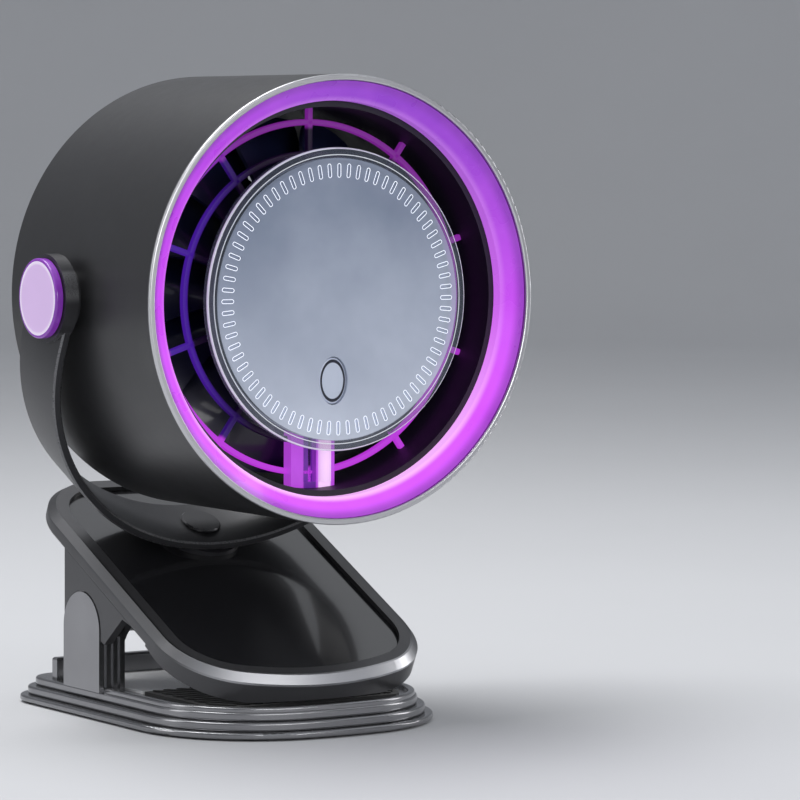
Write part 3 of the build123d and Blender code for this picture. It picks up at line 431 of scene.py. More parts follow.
def bare_metal(name, colour, roughness, line_scale=(1, 1, 0.05), pits=0.0):
    """Machined or plated metal: drawn lines, cloudy stain, and pits where it is cast or sintered."""
    f = Finish(name)
    lines = f.noise(2600, 2, place=f.moved(scale=line_scale))
    stain = f.noise(140, 4).step(0.3, 0.8)
    pores = (1 - f.cells(2400).step(0.05, 0.22)) * pits
    tone = f.blend(stain * 0.5 + pores * 0.4, colour, [c * 0.55 for c in colour])
    rough = roughness + lines * 0.16 + pores * 0.2
    return f.coat(Base_Color=tone, Metallic=1.0, Roughness=rough, Normal=f.bump(lines - pores, 6e-6))


def yoke_metal(name, colour):
    """Powder coat whose bevelled edges carry a painted highlight, paler in colour and also more metallic
    and smoother. The bevels face half across the band.
    """
    f = Finish(name)
    across = Vector((0, UP_SLOPE.y, UP_SLOPE.z))
    sockets = {0: f.place("Normal"), 1: across}
    facing = f.node("ShaderNodeVectorMath", {"operation": "DOT_PRODUCT"}, sockets, "Value")
    side = abs(facing)
    bevel_highlight = side.step(0.38, 0.5) * (1 - side.step(0.86, 0.95))
    grit = f.noise(2400, 3)
    tone = f.blend(f.noise(55, 4) * 0.5, colour, [c * 1.35 for c in colour])
    # painted highlight: the bevels are painted a paler grey
    tone = f.blend(bevel_highlight * 0.5, tone, (0.26, 0.26, 0.27))
    rough = 0.40 + (grit - 0.5) * 0.12 - bevel_highlight * 0.12
    return f.coat(Base_Color=tone, Metallic=0.35 + bevel_highlight * 0.3, Roughness=rough,
                  Normal=f.bump(grit * (1 - bevel_highlight), 9e-6))


def rubber(name, colour):
    """Matte rubber with a sandy skin and pale scuffs on the ridges."""
    f = Finish(name)
    sand = f.noise(2200, 4)
    scuff = f.noise(120, 5).step(0.58, 0.75)
    tone = f.blend(scuff * 0.4, colour, (0.12, 0.12, 0.125))
    return f.coat(Base_Color=tone, Roughness=0.86 - scuff * 0.12, Normal=f.bump(sand, 2.4e-5),
                  Sheen_Weight=0.15)


# Where a mark, a glow, a painted highlight or painted shade starts and ends, as distances from the head's
# axis.
RING_LIP_HIGHLIGHT = (0.0655, 0.0672)
RING_OUTER_SHADE = (0.0684, 0.0714)
GUARD_OUTER_RING = (0.0555, 0.0572)
GUARD_NEXT_RING = (0.0462, 0.0476)
FACE_EDGE_HIGHLIGHT = (0.0493, 0.0495)
FACE_HIGHLIGHT_LINE_START = (0.0473, 0.04745)
FACE_HIGHLIGHT_LINE_END = (0.04765, 0.0478)
FACE_CLEAR = (0.0462, 0.0467)
CAP_BORDER = (0.0110, 0.0114)       # from the tilt axis


def head_radius(f):
    """Height over the head's axis and distance from it."""
    x, _, z = f.axes()
    up = z - PIVOT.z
    return up, (x * x + up * up).root()


def light_diffuser(name, top, bottom):
    """Milky lit ring: violet above, hot pink below, with soft pools of light; a painted highlight whitens
    its inner lip, most towards the foot, and painted shade darkens its outside edge.
    """
    f = Finish(name)
    up, radius = head_radius(f)
    x = f.axes()[0]
    height = up.step(-0.050, 0.074) * (0.55 + x.step(-0.070, 0.010) * 0.45)
    lip = 1 - radius.step(*RING_LIP_HIGHLIGHT)
    outer = radius.step(*RING_OUTER_SHADE)
    pool = f.noise(75, 2).step(0.3, 0.7)
    lit = f.blend(height, bottom, top)
    low = 1 - up.step(-0.066, 0.0)
    # painted highlight: whiter on the inner lip, strongest low down
    lit = f.blend(lip * (0.15 + low * 0.75), lit, (1.0, 0.55, 1.0))
    # painted shade: darker towards the outside edge
    lit = f.blend(outer * 0.7, lit, (0.12, 0.01, 0.26))
    lit = f.blend(pool * 0.05, lit, (0.85, 0.25, 1.0))
    unlit = f.blend(pool * 0.3, (0.10, 0.012, 0.17), (0.16, 0.03, 0.24))
    return f.coat(Base_Color=unlit, Roughness=0.26 + pool * 0.08, Emission_Color=lit,
                  Emission_Strength=1.0, Normal=f.bump(f.noise(900, 2), 5e-6), Coat_Weight=0.35,
                  Coat_Roughness=0.12)


def lit_grille(name, colour, glow):
    """Dark tinted plastic with the ring's light painted on as a glow: on its outermost ring and rib ends,
    stronger low down, and fainter on the next ring at the left.
    """
    f = Finish(name)
    up, radius = head_radius(f)
    x = f.axes()[0]
    # painted light: the grille is no lamp; this glow stands for the ring's light falling on it
    caught = radius.step(*GUARD_OUTER_RING) * (0.35 + 0.65 * (1 - up.step(-0.06, 0.05)))
    faint = radius.step(*GUARD_NEXT_RING) * (1 - x.step(-0.046, -0.020))
    lit = f.blend(caught, f.blend(faint, (0.002, 0.0, 0.008), (0.060, 0.010, 0.34)), glow)
    grain = f.noise(1200, 3)
    return f.coat(Base_Color=f.blend(caught * 0.4 + grain * 0.1, colour, [c * 0.4 + 0.02 for c in glow]),
                  Roughness=0.55 + grain * 0.15, Emission_Color=lit,
                  Emission_Strength=0.8, Normal=f.bump(grain, 8e-6))


def lit_duct(name, deep, glow, clip):
    """Tinted wire duct with the ring's magenta light painted on as a glow, painted shade in its channel,
    and a pale curved clip beside it that glows pink with painted light.
    """
    f = Finish(name)
    x, y, _ = f.axes()
    channel = x.step(-0.0040, -0.0032) * (1 - x.step(0.0010, 0.0016))
    pale = x.step(0.0018, 0.0026) * (1 - x.step(0.0066, 0.0074)) * (1 - y.step(-0.0474, -0.0468))
    flow = f.noise(420, 3, place=f.moved(scale=(1, 1, 0.25)))
    # painted shade: darker in the channel
    lit = f.blend(channel * 0.85 + flow * 0.15, glow, deep)
    lit = f.blend(pale, lit, clip)
    # painted light: the duct is no lamp; its glow, and part of its base colour, stand for the ring's light
    return f.coat(Base_Color=f.blend(0.6, lit, deep), Roughness=0.26 + flow * 0.1, Emission_Color=lit,
                  Emission_Strength=0.75, Normal=f.bump(flow, 6e-6), Coat_Weight=0.4, Coat_Roughness=0.1)


DISC_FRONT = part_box("control_panel")[0].y


def frosted_panel(name, colour):
    """Frosted face: misty, paler towards the foot, clear outside its housing, with two bright rim lines
    that are painted highlights.
    """
    f = Finish(name)
    up, radius = head_radius(f)
    y = f.axes()[1]
    front = 1 - y.step(DISC_FRONT + 0.0006, DISC_FRONT + 0.0010)
    # painted highlights: two bright lines round the face's rim, on its front only
    edge = radius.step(*FACE_EDGE_HIGHLIGHT) * front
    line = radius.step(*FACE_HIGHLIGHT_LINE_START) * (1 - radius.step(*FACE_HIGHLIGHT_LINE_END)) * front
    clear = radius.step(*FACE_CLEAR)
    mist = f.noise(22, 4, 0.5).step(0.3, 0.75)
    foot = 1 - up.step(-0.050, 0.045)
    frost = f.noise(3200, 2)
    body = mist * 0.3 + foot * 0.7
    tone = f.blend(body, colour, (0.66, 0.71, 0.82))
    bright = (edge + line).math("MINIMUM", edge + line, 1.0)
    tone = f.blend(bright, tone, (0.92, 0.95, 1.0))
    tone = f.blend(clear * (1 - bright) * 0.7, tone, [c * 0.3 for c in colour])
    cover = (0.60 + body * 0.32) * (1 - clear * 0.70)
    cover = cover.math("MAXIMUM", cover, bright * 0.85)
    return f.coat(Base_Color=tone, Roughness=0.30 + frost * 0.10 - bright * 0.15, Alpha=cover,
                  Normal=f.bump(frost, 5e-6), Emission_Color=tone, Emission_Strength=0.05,
                  Coat_Weight=0.6, Coat_Roughness=0.10)


def touch_button(name, colour, dark):
    """Frosted oval key with a dark printed ring."""
    f = Finish(name)
    low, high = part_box("power_button")
    centre, half = (low + high) / 2, (high - low) / 2
    x, _, z = f.axes()
    across, up = (x - centre.x) / half.x, (z - centre.z) / half.z
    reach = (across * across + up * up).root()
    ring = reach.step(0.76, 0.80) * (1 - reach.step(0.90, 0.94))
    frost = f.noise(3000, 2)
    tone = f.blend(ring, f.blend(frost * 0.3, colour, (0.62, 0.68, 0.80)), dark)
    return f.coat(Base_Color=tone, Roughness=0.26 + frost * 0.12 - ring * 0.1, Normal=f.bump(frost, 5e-6),
                  Coat_Weight=0.5, Coat_Roughness=0.1)


def knob_face(name, colour, edge):
    """Lilac cap with a paler, smoother border, faint turning marks and a faint painted glow."""
    f = Finish(name)
    _, y, z = f.axes()
    along, up = y - PIVOT.y, z - PIVOT.z
    radius = (along * along + up * up).root()
    border = radius.step(*CAP_BORDER)
    rings = (radius * 30000).math("SINE", radius * 30000)
    cloud = f.noise(90, 3)
    tone = f.blend(cloud * 0.4, colour, [c * 0.84 for c in colour])
    tone = f.blend(border, tone, edge)
    # painted glow: the cap is no lamp
    return f.coat(Base_Color=tone, Roughness=0.30 + cloud * 0.06 - border * 0.12,
                  Normal=f.bump(rings, 6e-7), Coat_Weight=0.3, Coat_Roughness=0.12,
                  Emission_Color=tone, Emission_Strength=0.08)


def gloss_colour(name, colour, deep, roughness=0.22, glow=0.0):
    """Glossy coloured plastic with slow colour drift and fine flow lines."""
    f = Finish(name)
    drift = f.noise(60, 3)
    flow = f.noise(420, 3, place=f.moved(scale=(1, 1, 0.25)))
    tone = f.blend(drift * 0.6 + flow * 0.2, deep, colour)
    return f.coat(Base_Color=tone, Roughness=roughness + flow * 0.08, Normal=f.bump(f.noise(1500, 2), 5e-6),
                  Coat_Weight=0.4, Coat_Roughness=0.08, Emission_Color=tone, Emission_Strength=glow)


def printed_board(name, colour):
    """Solder mask over copper tracks, with tinned pads."""
    f = Finish(name)
    tracks = f.cells(260, "DISTANCE_TO_EDGE").step(0.04, 0.06)
    pads = 1 - f.cells(330).step(0.10, 0.13)
    tone = f.blend(tracks, (0.09, 0.34, 0.16), colour)
    tone = f.blend(pads, tone, (0.72, 0.70, 0.62))
    return f.coat(Base_Color=tone, Metallic=pads * 0.9, Roughness=0.38 - pads * 0.1,
                  Normal=f.bump(tracks, 2e-5))


def crinkled_foil(name, colour):
    """Pouch-cell foil, softly creased."""
    f = Finish(name)
    crease = f.cells(140, "DISTANCE_TO_EDGE").step(0.0, 0.12)
    tone = f.blend(f.noise(90, 4), colour, [c * 0.7 for c in colour])
    return f.coat(Base_Color=tone, Metallic=0.9, Roughness=0.28 + f.noise(500, 3) * 0.1,
                  Normal=f.bump(crease, 8e-5))


def wound_copper(name, colour):
    """Laminated core and enamelled winding."""
    f = Finish(name)
    y = f.axes()[1]
    turns = (y * 9000).math("SINE", y * 9000)
    tone = f.blend(turns * 0.5 + 0.5, [c * 0.55 for c in colour], colour)
    return f.coat(Base_Color=tone, Metallic=0.8, Roughness=0.32 + f.noise(700, 2) * 0.1,
                  Normal=f.bump(turns, 4e-5))


def make_finishes(colours):
    """Every finish of the fan, by material slot."""
    return {
        "base_satin": satin("base_satin", colours.base, 0.24, metal=0.9, grain=1.2e-6),
        "jaw_satin": satin("jaw_satin", colours.jaw, 0.34, metal=0.5, grain=2e-6),
        "drum_satin": satin("drum_satin", colours.drum, 0.40, metal=0.2, grain=3e-6, sheen_coat=0.10),
        "black_plastic": satin("black_plastic", (0.010, 0.010, 0.013), 0.46, grain=8e-6),
        "gloss_black": gloss_black("gloss_black", (0.014, 0.014, 0.016)),
        "tray_grey": satin("tray_grey", (0.80, 0.80, 0.81), 0.34, metal=0.0, grain=2e-6),
        "duct_black": satin("duct_black", (0.0035, 0.0035, 0.008), 0.55, grain=6e-6),
        "yoke_metal": yoke_metal("yoke_metal", colours.yoke),
        "steel": bare_metal("steel", (0.62, 0.62, 0.63), 0.22, (0.05, 1, 1)),
        "spring_steel": bare_metal("spring_steel", (0.48, 0.48, 0.50), 0.26),
        "zinc_screw": bare_metal("zinc_screw", (0.55, 0.56, 0.60), 0.30, (1, 1, 1), pits=0.3),
        "bronze": bare_metal("bronze", (0.58, 0.40, 0.20), 0.38, (1, 1, 1), pits=1.0),
        "rubber_black": rubber("rubber_black", (0.018, 0.018, 0.019)),
        # painted glow on the knobs, which are no lamp
        "knob_purple": gloss_colour("knob_purple", colours.knob, (0.10, 0.01, 0.22), 0.2, glow=0.15),
        "cap_lilac": knob_face("cap_lilac", colours.cap, (0.88, 0.76, 0.95)),
        "fan_blue": gloss_colour("fan_blue", colours.blades, [c * 0.5 for c in colours.blades], 0.28),
        "light_diffuser": light_diffuser("light_diffuser", colours.light_top, colours.light_bottom),
        "frosted_panel": frosted_panel("frosted_panel", colours.panel),
        "tick_white": gloss_colour("tick_white", (0.95, 0.96, 1.0), (0.80, 0.85, 0.95), 0.3, glow=0.6),
        "board_green": printed_board("board_green", (0.015, 0.11, 0.045)),
        "battery_foil": crinkled_foil("battery_foil", (0.70, 0.71, 0.73)),
        "copper_core": wound_copper("copper_core", (0.62, 0.33, 0.18)),
    }


# ---- patterns ----
def tick_pattern():
    """Hollow rounded marks standing in a circle, their length along the radius."""
    p = Pattern("Tick marks", Count=72, Middle_radius=0.0424, Length=TICK_LENGTH, Width=0.0015, Line=0.0003)
    line = p.size("Line")
    sockets = {"Width": p.size("Length") - line, "Height": p.size("Width") - line}
    slot = p.node("GeometryNodeCurvePrimitiveQuadrilateral", {}, sockets)
    corner = (p.size("Width") - line) * 0.499
    sockets = {"Curve": slot, "Count": 3, "Radius": corner}
    slot = p.node("GeometryNodeFilletCurve", {"mode": "POLY"}, sockets)
    wire = p.node("GeometryNodeCurvePrimitiveCircle", {}, {"Resolution": 5, "Radius": line * 0.5})
    mark = p.tube(slot, wire)
    sockets = {"Vertices": p.size("Count"), "Radius": p.size("Middle_radius")}
    circle = p.node("GeometryNodeMeshCircle", {}, sockets)
    turn = p.vector(0.0, 0.0, p.index() * (2 * pi) / p.size("Count"))
    return p.end(p.on(circle, mark, Rotation=turn))


def wheel_pattern():
    """Evenly spaced rings, straight ribs and a hub disc, like a fan guard."""
    p = Pattern("Guard wheel", Rings=4, First_radius=0.0266, Last_radius=0.0582, Ribs=10, Rib_start=0.0,
                Rib_inner=0.015, Rib_outer=0.0633, Bar_width=0.002, Bar_depth=0.0024, Corner=0.0005,
                Hub_radius=0.017)
    section = p.bar_section(p.size("Bar_width"), p.size("Bar_depth"), p.size("Corner"))
    step = (p.size("Last_radius") - p.size("First_radius")) / (p.size("Rings") - 1)
    radius = p.size("First_radius") + p.index() * step
    loop = p.node("GeometryNodeCurvePrimitiveCircle", {}, {"Resolution": 144, "Radius": 1.0})
    loops = p.realize(p.on(p.spots(p.size("Rings")), loop, Scale=p.vector(radius, radius, 1.0)))
    upright = p.node("GeometryNodeSetCurveNormal", {"mode": "Z_UP"}, {"Curve": loops})
    rings = p.tube(upright, section)
    ends = {"Start": p.vector(p.size("Rib_inner")), "End": p.vector(p.size("Rib_outer"))}
    spoke = p.node("GeometryNodeCurvePrimitiveLine", {}, ends)
    spoke = p.node("GeometryNodeSetCurveNormal", {"mode": "Z_UP"}, {"Curve": spoke})
    turn = p.vector(0.0, 0.0, p.size("Rib_start") + p.index() * (2 * pi) / p.size("Ribs"))
    ribs = p.on(p.spots(p.size("Ribs")), p.tube(spoke, section), Rotation=turn)
    sockets = {"Vertices": 96, "Radius": p.size("Hub_radius"), "Depth": p.size("Bar_depth")}
    hub = p.node("GeometryNodeMeshCylinder", {}, sockets)
    return p.end(p.join(rings, ribs, hub))


def screw_pattern():
    """Four cross-recess screws at the corners of a rectangle, heads up on the local XY plane."""
    p = Pattern("Cross screws", Spread_x=0.076, Spread_y=0.068, Head_radius=SCREW_HEAD_RADIUS,
                Head_height=SCREW_HEAD_HEIGHT, Shank_radius=0.0012, Shank_length=0.004, Slot_width=0.0006)
    head_height = p.size("Head_height")
    grid = p.node("GeometryNodeMeshGrid", {}, {"Size X": p.size("Spread_x"), "Size Y": p.size("Spread_y"),
                                              "Vertices X": 2, "Vertices Y": 2})
    sockets = {"Vertices": 32, "Radius Top": p.size("Head_radius") * 0.84,
               "Radius Bottom": p.size("Head_radius"), "Depth": head_height}
    head = p.node("GeometryNodeMeshCone", {}, sockets)
    arms = []
    for turn in (0.0, pi / 2):
        size = p.vector(p.size("Head_radius") * 1.25, p.size("Slot_width"), head_height)
        bar = p.node("GeometryNodeMeshCube", {}, {"Size": size})
        place = {"Geometry": bar, "Translation": p.vector(0.0, 0.0, head_height), "Rotation": (0, 0, turn)}
        arms.append(p.node("GeometryNodeTransform", {}, place))
    head = p.node("GeometryNodeMeshBoolean", {"operation": "DIFFERENCE"}, {"Mesh 1": head, "Mesh 2": arms})
    shank = p.node("GeometryNodeMeshCylinder", {}, {"Vertices": 16, "Radius": p.size("Shank_radius"),
                                                   "Depth": p.size("Shank_length")})
    drop = p.vector(0.0, 0.0, p.size("Shank_length") * -0.5)
    shank = p.node("GeometryNodeTransform", {}, {"Geometry": shank, "Translation": drop})
    return p.end(p.on(grid, p.join(head, shank)))


def blade_pattern():
    """Swept, twisted, cambered blades wrapped round the hub."""
    p = Pattern("Fan blades", Blades=13, Root_radius=0.0203, Tip_radius=0.0598, Root_chord=0.022,
                Tip_chord=0.042, Root_pitch=0.80, Tip_pitch=0.35, Sweep=0.010, Camber=0.0016)
    sockets = {"Size X": 1.0, "Size Y": 1.0, "Vertices X": 15, "Vertices Y": 13}
    grid = p.node("GeometryNodeMeshGrid", {}, sockets)
    place = p.node("GeometryNodeInputPosition")
    along, across = (p.node("ShaderNodeSeparateXYZ", {}, {0: place}, axis) for axis in (0, 1))
    out = along + 0.5
    tip_round = (1 - (out.math("SUBTRACT", out, 0.72, clamp=True) * 3.2) ** 2.0 * 0.55).root()
    radius = p.size("Root_radius") + out * (p.size("Tip_radius") - p.size("Root_radius"))
    chord = (p.size("Root_chord") + out * (p.size("Tip_chord") - p.size("Root_chord"))) * tip_round
    pitch = p.size("Root_pitch") + out * (p.size("Tip_pitch") - p.size("Root_pitch"))
    tangent = across * chord * pitch.math("COSINE", pitch) + p.size("Sweep") * out * out
    lift = across * chord * pitch.math("SINE", pitch) + p.size("Camber") * (1 - across * across * 4)
    turn = tangent / radius
    wrapped = p.vector(radius * turn.math("COSINE", turn), radius * turn.math("SINE", turn), lift)
    blade = p.node("GeometryNodeSetPosition", {}, {"Geometry": grid, "Position": wrapped})
    spin = p.vector(0.0, 0.0, p.index() * (2 * pi) / p.size("Blades"))
    return p.end(p.on(p.spots(p.size("Blades")), blade, Rotation=spin))


# ---- what a user would change ----
class FanSizes(bpy.types.PropertyGroup):
    """Sizes of the detailed pieces."""

    tick_count: IntProperty(name="Tick marks", description="Marks round the face",
                            default=72, min=8, max=120)
    tick_line: FloatProperty(name="Tick line", description="Line width of a mark",
                             default=0.00026, unit="LENGTH")
    ring_count: IntProperty(name="Outlet rings", description="Rings of the outlet guard",
                            default=4, min=2, max=8)
    rib_count: IntProperty(name="Outlet ribs", description="Ribs of the outlet guard",
                           default=10, min=4, max=24)
    rear_ring_count: IntProperty(name="Inlet rings", description="Rings of the inlet guard",
                                 default=12, min=3, max=16)
    rear_rib_count: IntProperty(name="Inlet ribs", description="Ribs of the inlet guard",
                                default=12, min=4, max=24)
    blade_count: IntProperty(name="Blades", description="Blades of the impeller",
                             default=13, min=3, max=17)
    blade_thick: FloatProperty(name="Blade wall", description="Thickness of a blade",
                               default=0.0014, unit="LENGTH")


def colour_property(name, description, default):
    return FloatVectorProperty(name=name, description=description, default=default, subtype="COLOR", size=3,
                               min=0.0, max=1.0)


class FanColours(bpy.types.PropertyGroup):
    """Colours of the fan."""

    drum: colour_property("Drum", "Satin shell of the head", (0.022, 0.022, 0.024))
    base: colour_property("Base", "Satin metallic lower jaw", (0.27, 0.27, 0.28))
    jaw: colour_property("Jaw", "Satin metallic upper jaw", (0.070, 0.070, 0.074))
    trim: colour_property("Trim", "Bright edge of the upper jaw", (0.62, 0.62, 0.64))
    yoke: colour_property("Yoke", "Powder coat of the yoke", (0.028, 0.028, 0.031))
    knob: colour_property("Knob", "Side of the tilt knobs", (0.36, 0.06, 0.62))
    cap: colour_property("Knob cap", "Face of the tilt knobs", (0.72, 0.52, 0.84))
    light_top: colour_property("Light, top", "Ring light at its top", (0.19, 0.025, 0.46))
    light_bottom: colour_property("Light, foot", "Ring light at its foot", (0.66, 0.07, 0.92))
    panel: colour_property("Face", "Frosted face", (0.25, 0.30, 0.42))
    blades: colour_property("Blades", "Impeller", (0.008, 0.012, 0.045))


# ---- operators ----
FINISHES = {}
CARRIED = {
    "base_satin": ("lower_jaw",),
    "jaw_satin": ("upper_jaw",),
    "drum_satin": ("head_shell",),
    "tray_grey": ("tray_plate",),
    "gloss_black": ("jaw_panel",),
    "duct_black": ("duct_liner",),
    "black_plastic": (
        "base_cover", "jaw_cover", "swivel_disc", "panel_stem", "panel_housing", "motor_mount",
    ),
    "yoke_metal": ("yoke", "swivel_post"),
    "steel": ("usb_socket", "hinge_pin", "swivel_nut", "motor_shaft", "motor_rotor"),
    "spring_steel": ("torsion_spring", "swivel_washer"),
    "zinc_screw": ("pivot_screws",),
    "bronze": ("swivel_bush", "pivot_bushes"),
    "rubber_black": ("base_feet", "upper_pad", "lower_pad"),
    "knob_purple": ("knob_right", "knob_left"),
    "cap_lilac": ("knob_cap_right", "knob_cap_left"),
    "light_diffuser": ("light_ring",),
    "frosted_panel": ("control_panel",),
    "board_green": ("charge_board", "light_board", "control_board"),
    "battery_foil": ("battery_pack",),
    "copper_core": ("motor_stator",),
}


def repaint(node, finish):
    mesh = frame["nodes"][node].data
    mesh.materials.clear()
    mesh.materials.append(finish)


class PaintCarriedParts(bpy.types.Operator):
    """Makes every finish and gives the frame's own parts theirs"""

    bl_idname = "desk_fan.paint_parts"
    bl_label = "Paint the frame's parts"

    def execute(self, context):
        FINISHES.update(make_finishes(context.scene.desk_fan_colours))
        for slot, nodes in CARRIED.items():
            for node in nodes:
                repaint(node, FINISHES[slot])
        return {"FINISHED"}


class PaintLitParts(bpy.types.Operator):
    """Gives the wire duct, both bright edges and the oval key the finishes that belong to them alone; the
    duct's glow, the edges' bright fronts and their dark sides are painted light and shade
    """

    bl_idname = "desk_fan.paint_lit_parts"
    bl_label = "Paint the lit parts"

    def execute(self, context):
        FINISHES["lit_grille"] = lit_grille("lit_grille", (0.0015, 0.0015, 0.005), (0.55, 0.04, 0.78))
        duct = lit_duct("lit_duct", deep=(0.07, 0.005, 0.20), glow=(0.52, 0.07, 0.74),
                        clip=(0.98, 0.66, 1.0))
        repaint("wire_duct", duct)
        trim = context.scene.desk_fan_colours.trim
        # painted highlight: the jaw trim gets a brighter copy of the trim colour than the front rim
        highlighted_trim = [min(1.0, c * 1.35) for c in trim]
        repaint("jaw_trim", trim_silver("jaw_trim", highlighted_trim, JAW_TRIM_SHADE_SPAN))
        rim_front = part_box("front_rim")[0].y
        rim_shade_span = [rim_front + depth for depth in FRONT_RIM_SHADE_SPAN]
        repaint("front_rim", trim_silver("front_rim", trim, rim_shade_span))
        repaint("power_button", touch_button("oval_key", (0.55, 0.60, 0.72), (0.012, 0.014, 0.03)))
        return {"FINISHED"}


class AddTicks(bpy.types.Operator):
    """Sets the hollow tick marks into the frosted face"""

    bl_idname = "desk_fan.add_ticks"
    bl_label = "Tick marks"

    def execute(self, context):
        sizes = context.scene.desk_fan_sizes
        low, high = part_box("tick_marks")
        place = head_place(low.y + 0.4 * sizes.tick_line)
        ticks = grown("tick_outlines", tick_pattern(), FINISHES["tick_white"], place,
                      Count=sizes.tick_count, Middle_radius=high.x - TICK_LENGTH / 2, Line=sizes.tick_line)
        put(ticks, "head", "tick_white", "tick_marks")
        return {"FINISHED"}


class AddGuards(bpy.types.Operator):
    """Builds the outlet and inlet guards"""

    bl_idname = "desk_fan.add_guards"
    bl_label = "Outlet and inlet guards"

    def execute(self, context):
        sizes = context.scene.desk_fan_sizes
        wheel = wheel_pattern()
        front = grown("outlet_guard", wheel, FINISHES["lit_grille"], head_place(middle("front_grille").y),
                      Rings=sizes.ring_count, Ribs=sizes.rib_count, Rib_start=radians(90))
        put(front, "head", "gloss_black", "front_grille")
        low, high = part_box("rear_grille")
        rear = grown("inlet_guard", wheel, FINISHES["black_plastic"], head_place(middle("rear_grille").y),
                     Rings=sizes.rear_ring_count, Ribs=sizes.rear_rib_count,
                     First_radius=INLET_FIRST_RING, Last_radius=high.x - INLET_BAR / 2,
                     Rib_inner=INLET_HUB_RADIUS - INLET_BAR, Rib_outer=high.x - INLET_BAR / 2,
                     Bar_width=INLET_BAR, Bar_depth=high.y - low.y, Hub_radius=INLET_HUB_RADIUS)
        put(rear, "head", "black_plastic", "rear_grille")
        return {"FINISHED"}


class AddImpeller(bpy.types.Operator):
    """Builds the hub and the swept blades"""

    bl_idname = "desk_fan.add_impeller"
    bl_label = "Impeller"

    def execute(self, context):
        sizes = context.scene.desk_fan_sizes
        low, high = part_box("impeller")
        finish = FINISHES["fan_blue"]
        centre = (low.y + high.y) / 2
        blades = grown("impeller_blades", blade_pattern(), finish, head_place(centre + BLADES_BACK),
                       thicken=sizes.blade_thick, Blades=sizes.blade_count)
        half = (high.y - low.y) / 2
        crown = arc((HUB_RADIUS - HUB_ROUND, half - HUB_ROUND), HUB_ROUND, 0, 90)
        inner = half - HUB_WALL
        outline = [(HUB_RADIUS, -half), *crown, (0.0, half), (0.0, inner), (HUB_BORE, inner),
                   (HUB_BORE, -half)]
        hub = turned("impeller_hub", outline, finish, head_place(centre))
        put(blades, "fan", "fan_blue", "impeller")
        put(hub, "fan", "fan_blue")
        return {"FINISHED"}


class AddScrews(bpy.types.Operator):
    """Sets the cross-recess screws under the jaws and behind the head"""

    bl_idname = "desk_fan.add_screws"
    bl_label = "Screws"

    def execute(self, context):
        screws, finish = screw_pattern(), FINISHES["zinc_screw"]
        reach = SCREW_HEAD_RADIUS
        low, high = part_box("base_screws")
        place = Matrix.Translation((0, 0, low.z + SCREW_HEAD_HEIGHT / 2)) @ Matrix.Rotation(pi, 4, "X")
        base = grown("base_screw_set", screws, finish, place, Spread_x=high.x - low.x - 2 * reach,
                     Spread_y=high.y - low.y - 2 * reach, Head_height=SCREW_HEAD_HEIGHT)
        put(base, "base", "zinc_screw", "base_screws")
        centre = middle("jaw_screws")
        slope = Matrix((Vector((-1, 0, 0)), UP_SLOPE, -SWIVEL_AXIS)).transposed().to_4x4()
        low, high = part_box("jaw_screws")
        place = Matrix.Translation(centre - SWIVEL_AXIS * JAW_SCREW_DROP) @ slope
        jaw = grown("jaw_screw_set", screws, finish, place, Spread_x=high.x - low.x - 2 * reach,
                    Spread_y=JAW_SCREW_SPREAD, Shank_length=JAW_SCREW_SHANK)
        put(jaw, "clip", "zinc_screw", "jaw_screws")
        low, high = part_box("head_screws")
        heads_out = Matrix.Rotation(-pi / 2, 4, "X")
        back = Matrix.Translation((0, high.y - SCREW_HEAD_HEIGHT / 2, PIVOT.z)) @ heads_out
        span = high.x - low.x - 2 * reach
        head = grown("head_screw_set", screws, finish, back, Spread_x=span, Spread_y=span,
                     Shank_length=HEAD_SCREW_SHANK)
        put(head, "head", "zinc_screw", "head_screws")
        return {"FINISHED"}


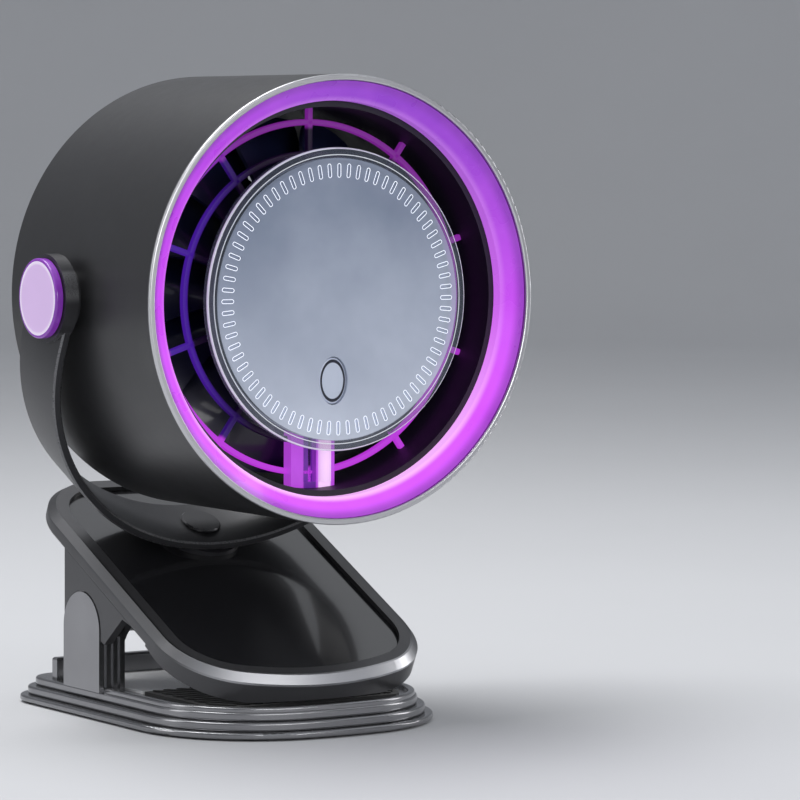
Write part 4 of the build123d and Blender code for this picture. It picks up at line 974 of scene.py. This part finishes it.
class BuildStage(bpy.types.Operator):
    """Adds the pale floor, the soft studio lights and the camera"""

    bl_idname = "desk_fan.build_stage"
    bl_label = "Stage"

    def execute(self, context):
        scene = context.scene
        f = Finish("stage_floor")
        tone = f.blend(f.noise(3, 3), (0.50, 0.505, 0.52), (0.53, 0.535, 0.55))
        paper = f.coat(Base_Color=tone, Roughness=0.75)
        sweep = [(0.0, 0.0), (1.6, 0.0), *arc((2.6, 1.2), 1.2, -90, 0, 16), (3.8, 3.2)]
        turned("stage_floor", sweep, paper, Matrix.Identity(4), closed=False, smooth=80)

        world = bpy.data.worlds.new("studio")
        world.use_nodes = True
        sky = world.node_tree.nodes["Background"].inputs
        sky["Color"].default_value, sky["Strength"].default_value = SKY_COLOUR, SKY_STRENGTH
        scene.world = world
        scene.view_settings.view_transform = "Standard"

        aim = Vector((0, 0, 0.11))
        lamps = (
            ("overhead", (-0.25, 0.35, 1.3), (1.3, 0.6), 17.0),
            ("left_strip", (-1.3, 0.55, 0.55), (0.35, 1.2), 4.0),
            ("front_low", (-0.1, -1.35, 0.40), (1.3, 0.30), 6.0),
            ("right_edge", (1.1, -0.25, 0.35), (0.3, 0.9), 3.0),
        )
        for name, at, (width, height), power in lamps:
            data = bpy.data.lights.new(name, "AREA")
            data.shape, data.size, data.size_y, data.energy = "RECTANGLE", width, height, power
            lamp = bpy.data.objects.new(name, data)
            lamp.location = at
            lamp.rotation_euler = (aim - Vector(at)).to_track_quat("-Z", "Y").to_euler()
            scene.collection.objects.link(lamp)

        turn, tilt, roll = VIEW_TURN, VIEW_TILT, VIEW_ROLL
        back = Vector((sin(turn) * cos(tilt), -cos(turn) * cos(tilt), sin(tilt)))
        right = (-back).cross(Vector((0, 0, 1))).normalized()
        up = right.cross(-back)
        right, up = right * cos(roll) + up * sin(roll), up * cos(roll) - right * sin(roll)
        lens = bpy.data.cameras.new("view")
        lens.lens, lens.sensor_width, lens.clip_start = VIEW_LENS_MM, 36.0, 0.01
        camera = bpy.data.objects.new("view", lens)
        turned_to = Matrix((right, up, back)).transposed().to_4x4()
        camera.matrix_world = Matrix.Translation(VIEW_AT) @ turned_to
        scene.collection.objects.link(camera)
        scene.camera = camera
        return {"FINISHED"}


STEPS = (BuildStage, PaintCarriedParts, PaintLitParts, AddTicks, AddGuards, AddImpeller, AddScrews)


class FanPanel(bpy.types.Panel):
    """Lists the fan's sizes, colours and build steps"""

    bl_idname = "VIEW3D_PT_desk_fan"
    bl_label = "Desk fan"
    bl_space_type = "VIEW_3D"
    bl_region_type = "UI"
    bl_category = "Desk fan"

    def draw(self, context):
        for group in (context.scene.desk_fan_sizes, context.scene.desk_fan_colours):
            box = self.layout.box()
            for name in group.__annotations__:
                box.prop(group, name)
        for step in STEPS:
            self.layout.operator(step.bl_idname)


CLASSES = (FanSizes, FanColours, *STEPS, FanPanel)


def register():
    for each in CLASSES:
        bpy.utils.register_class(each)
    bpy.types.Scene.desk_fan_sizes = PointerProperty(type=FanSizes)
    bpy.types.Scene.desk_fan_colours = PointerProperty(type=FanColours)


def unregister():
    del bpy.types.Scene.desk_fan_colours
    del bpy.types.Scene.desk_fan_sizes
    for each in reversed(CLASSES):
        bpy.utils.unregister_class(each)


def main():
    register()
    for step in STEPS:
        group, name = step.bl_idname.split(".")
        getattr(getattr(bpy.ops, group), name)()


if __name__ == "__main__":
    main()
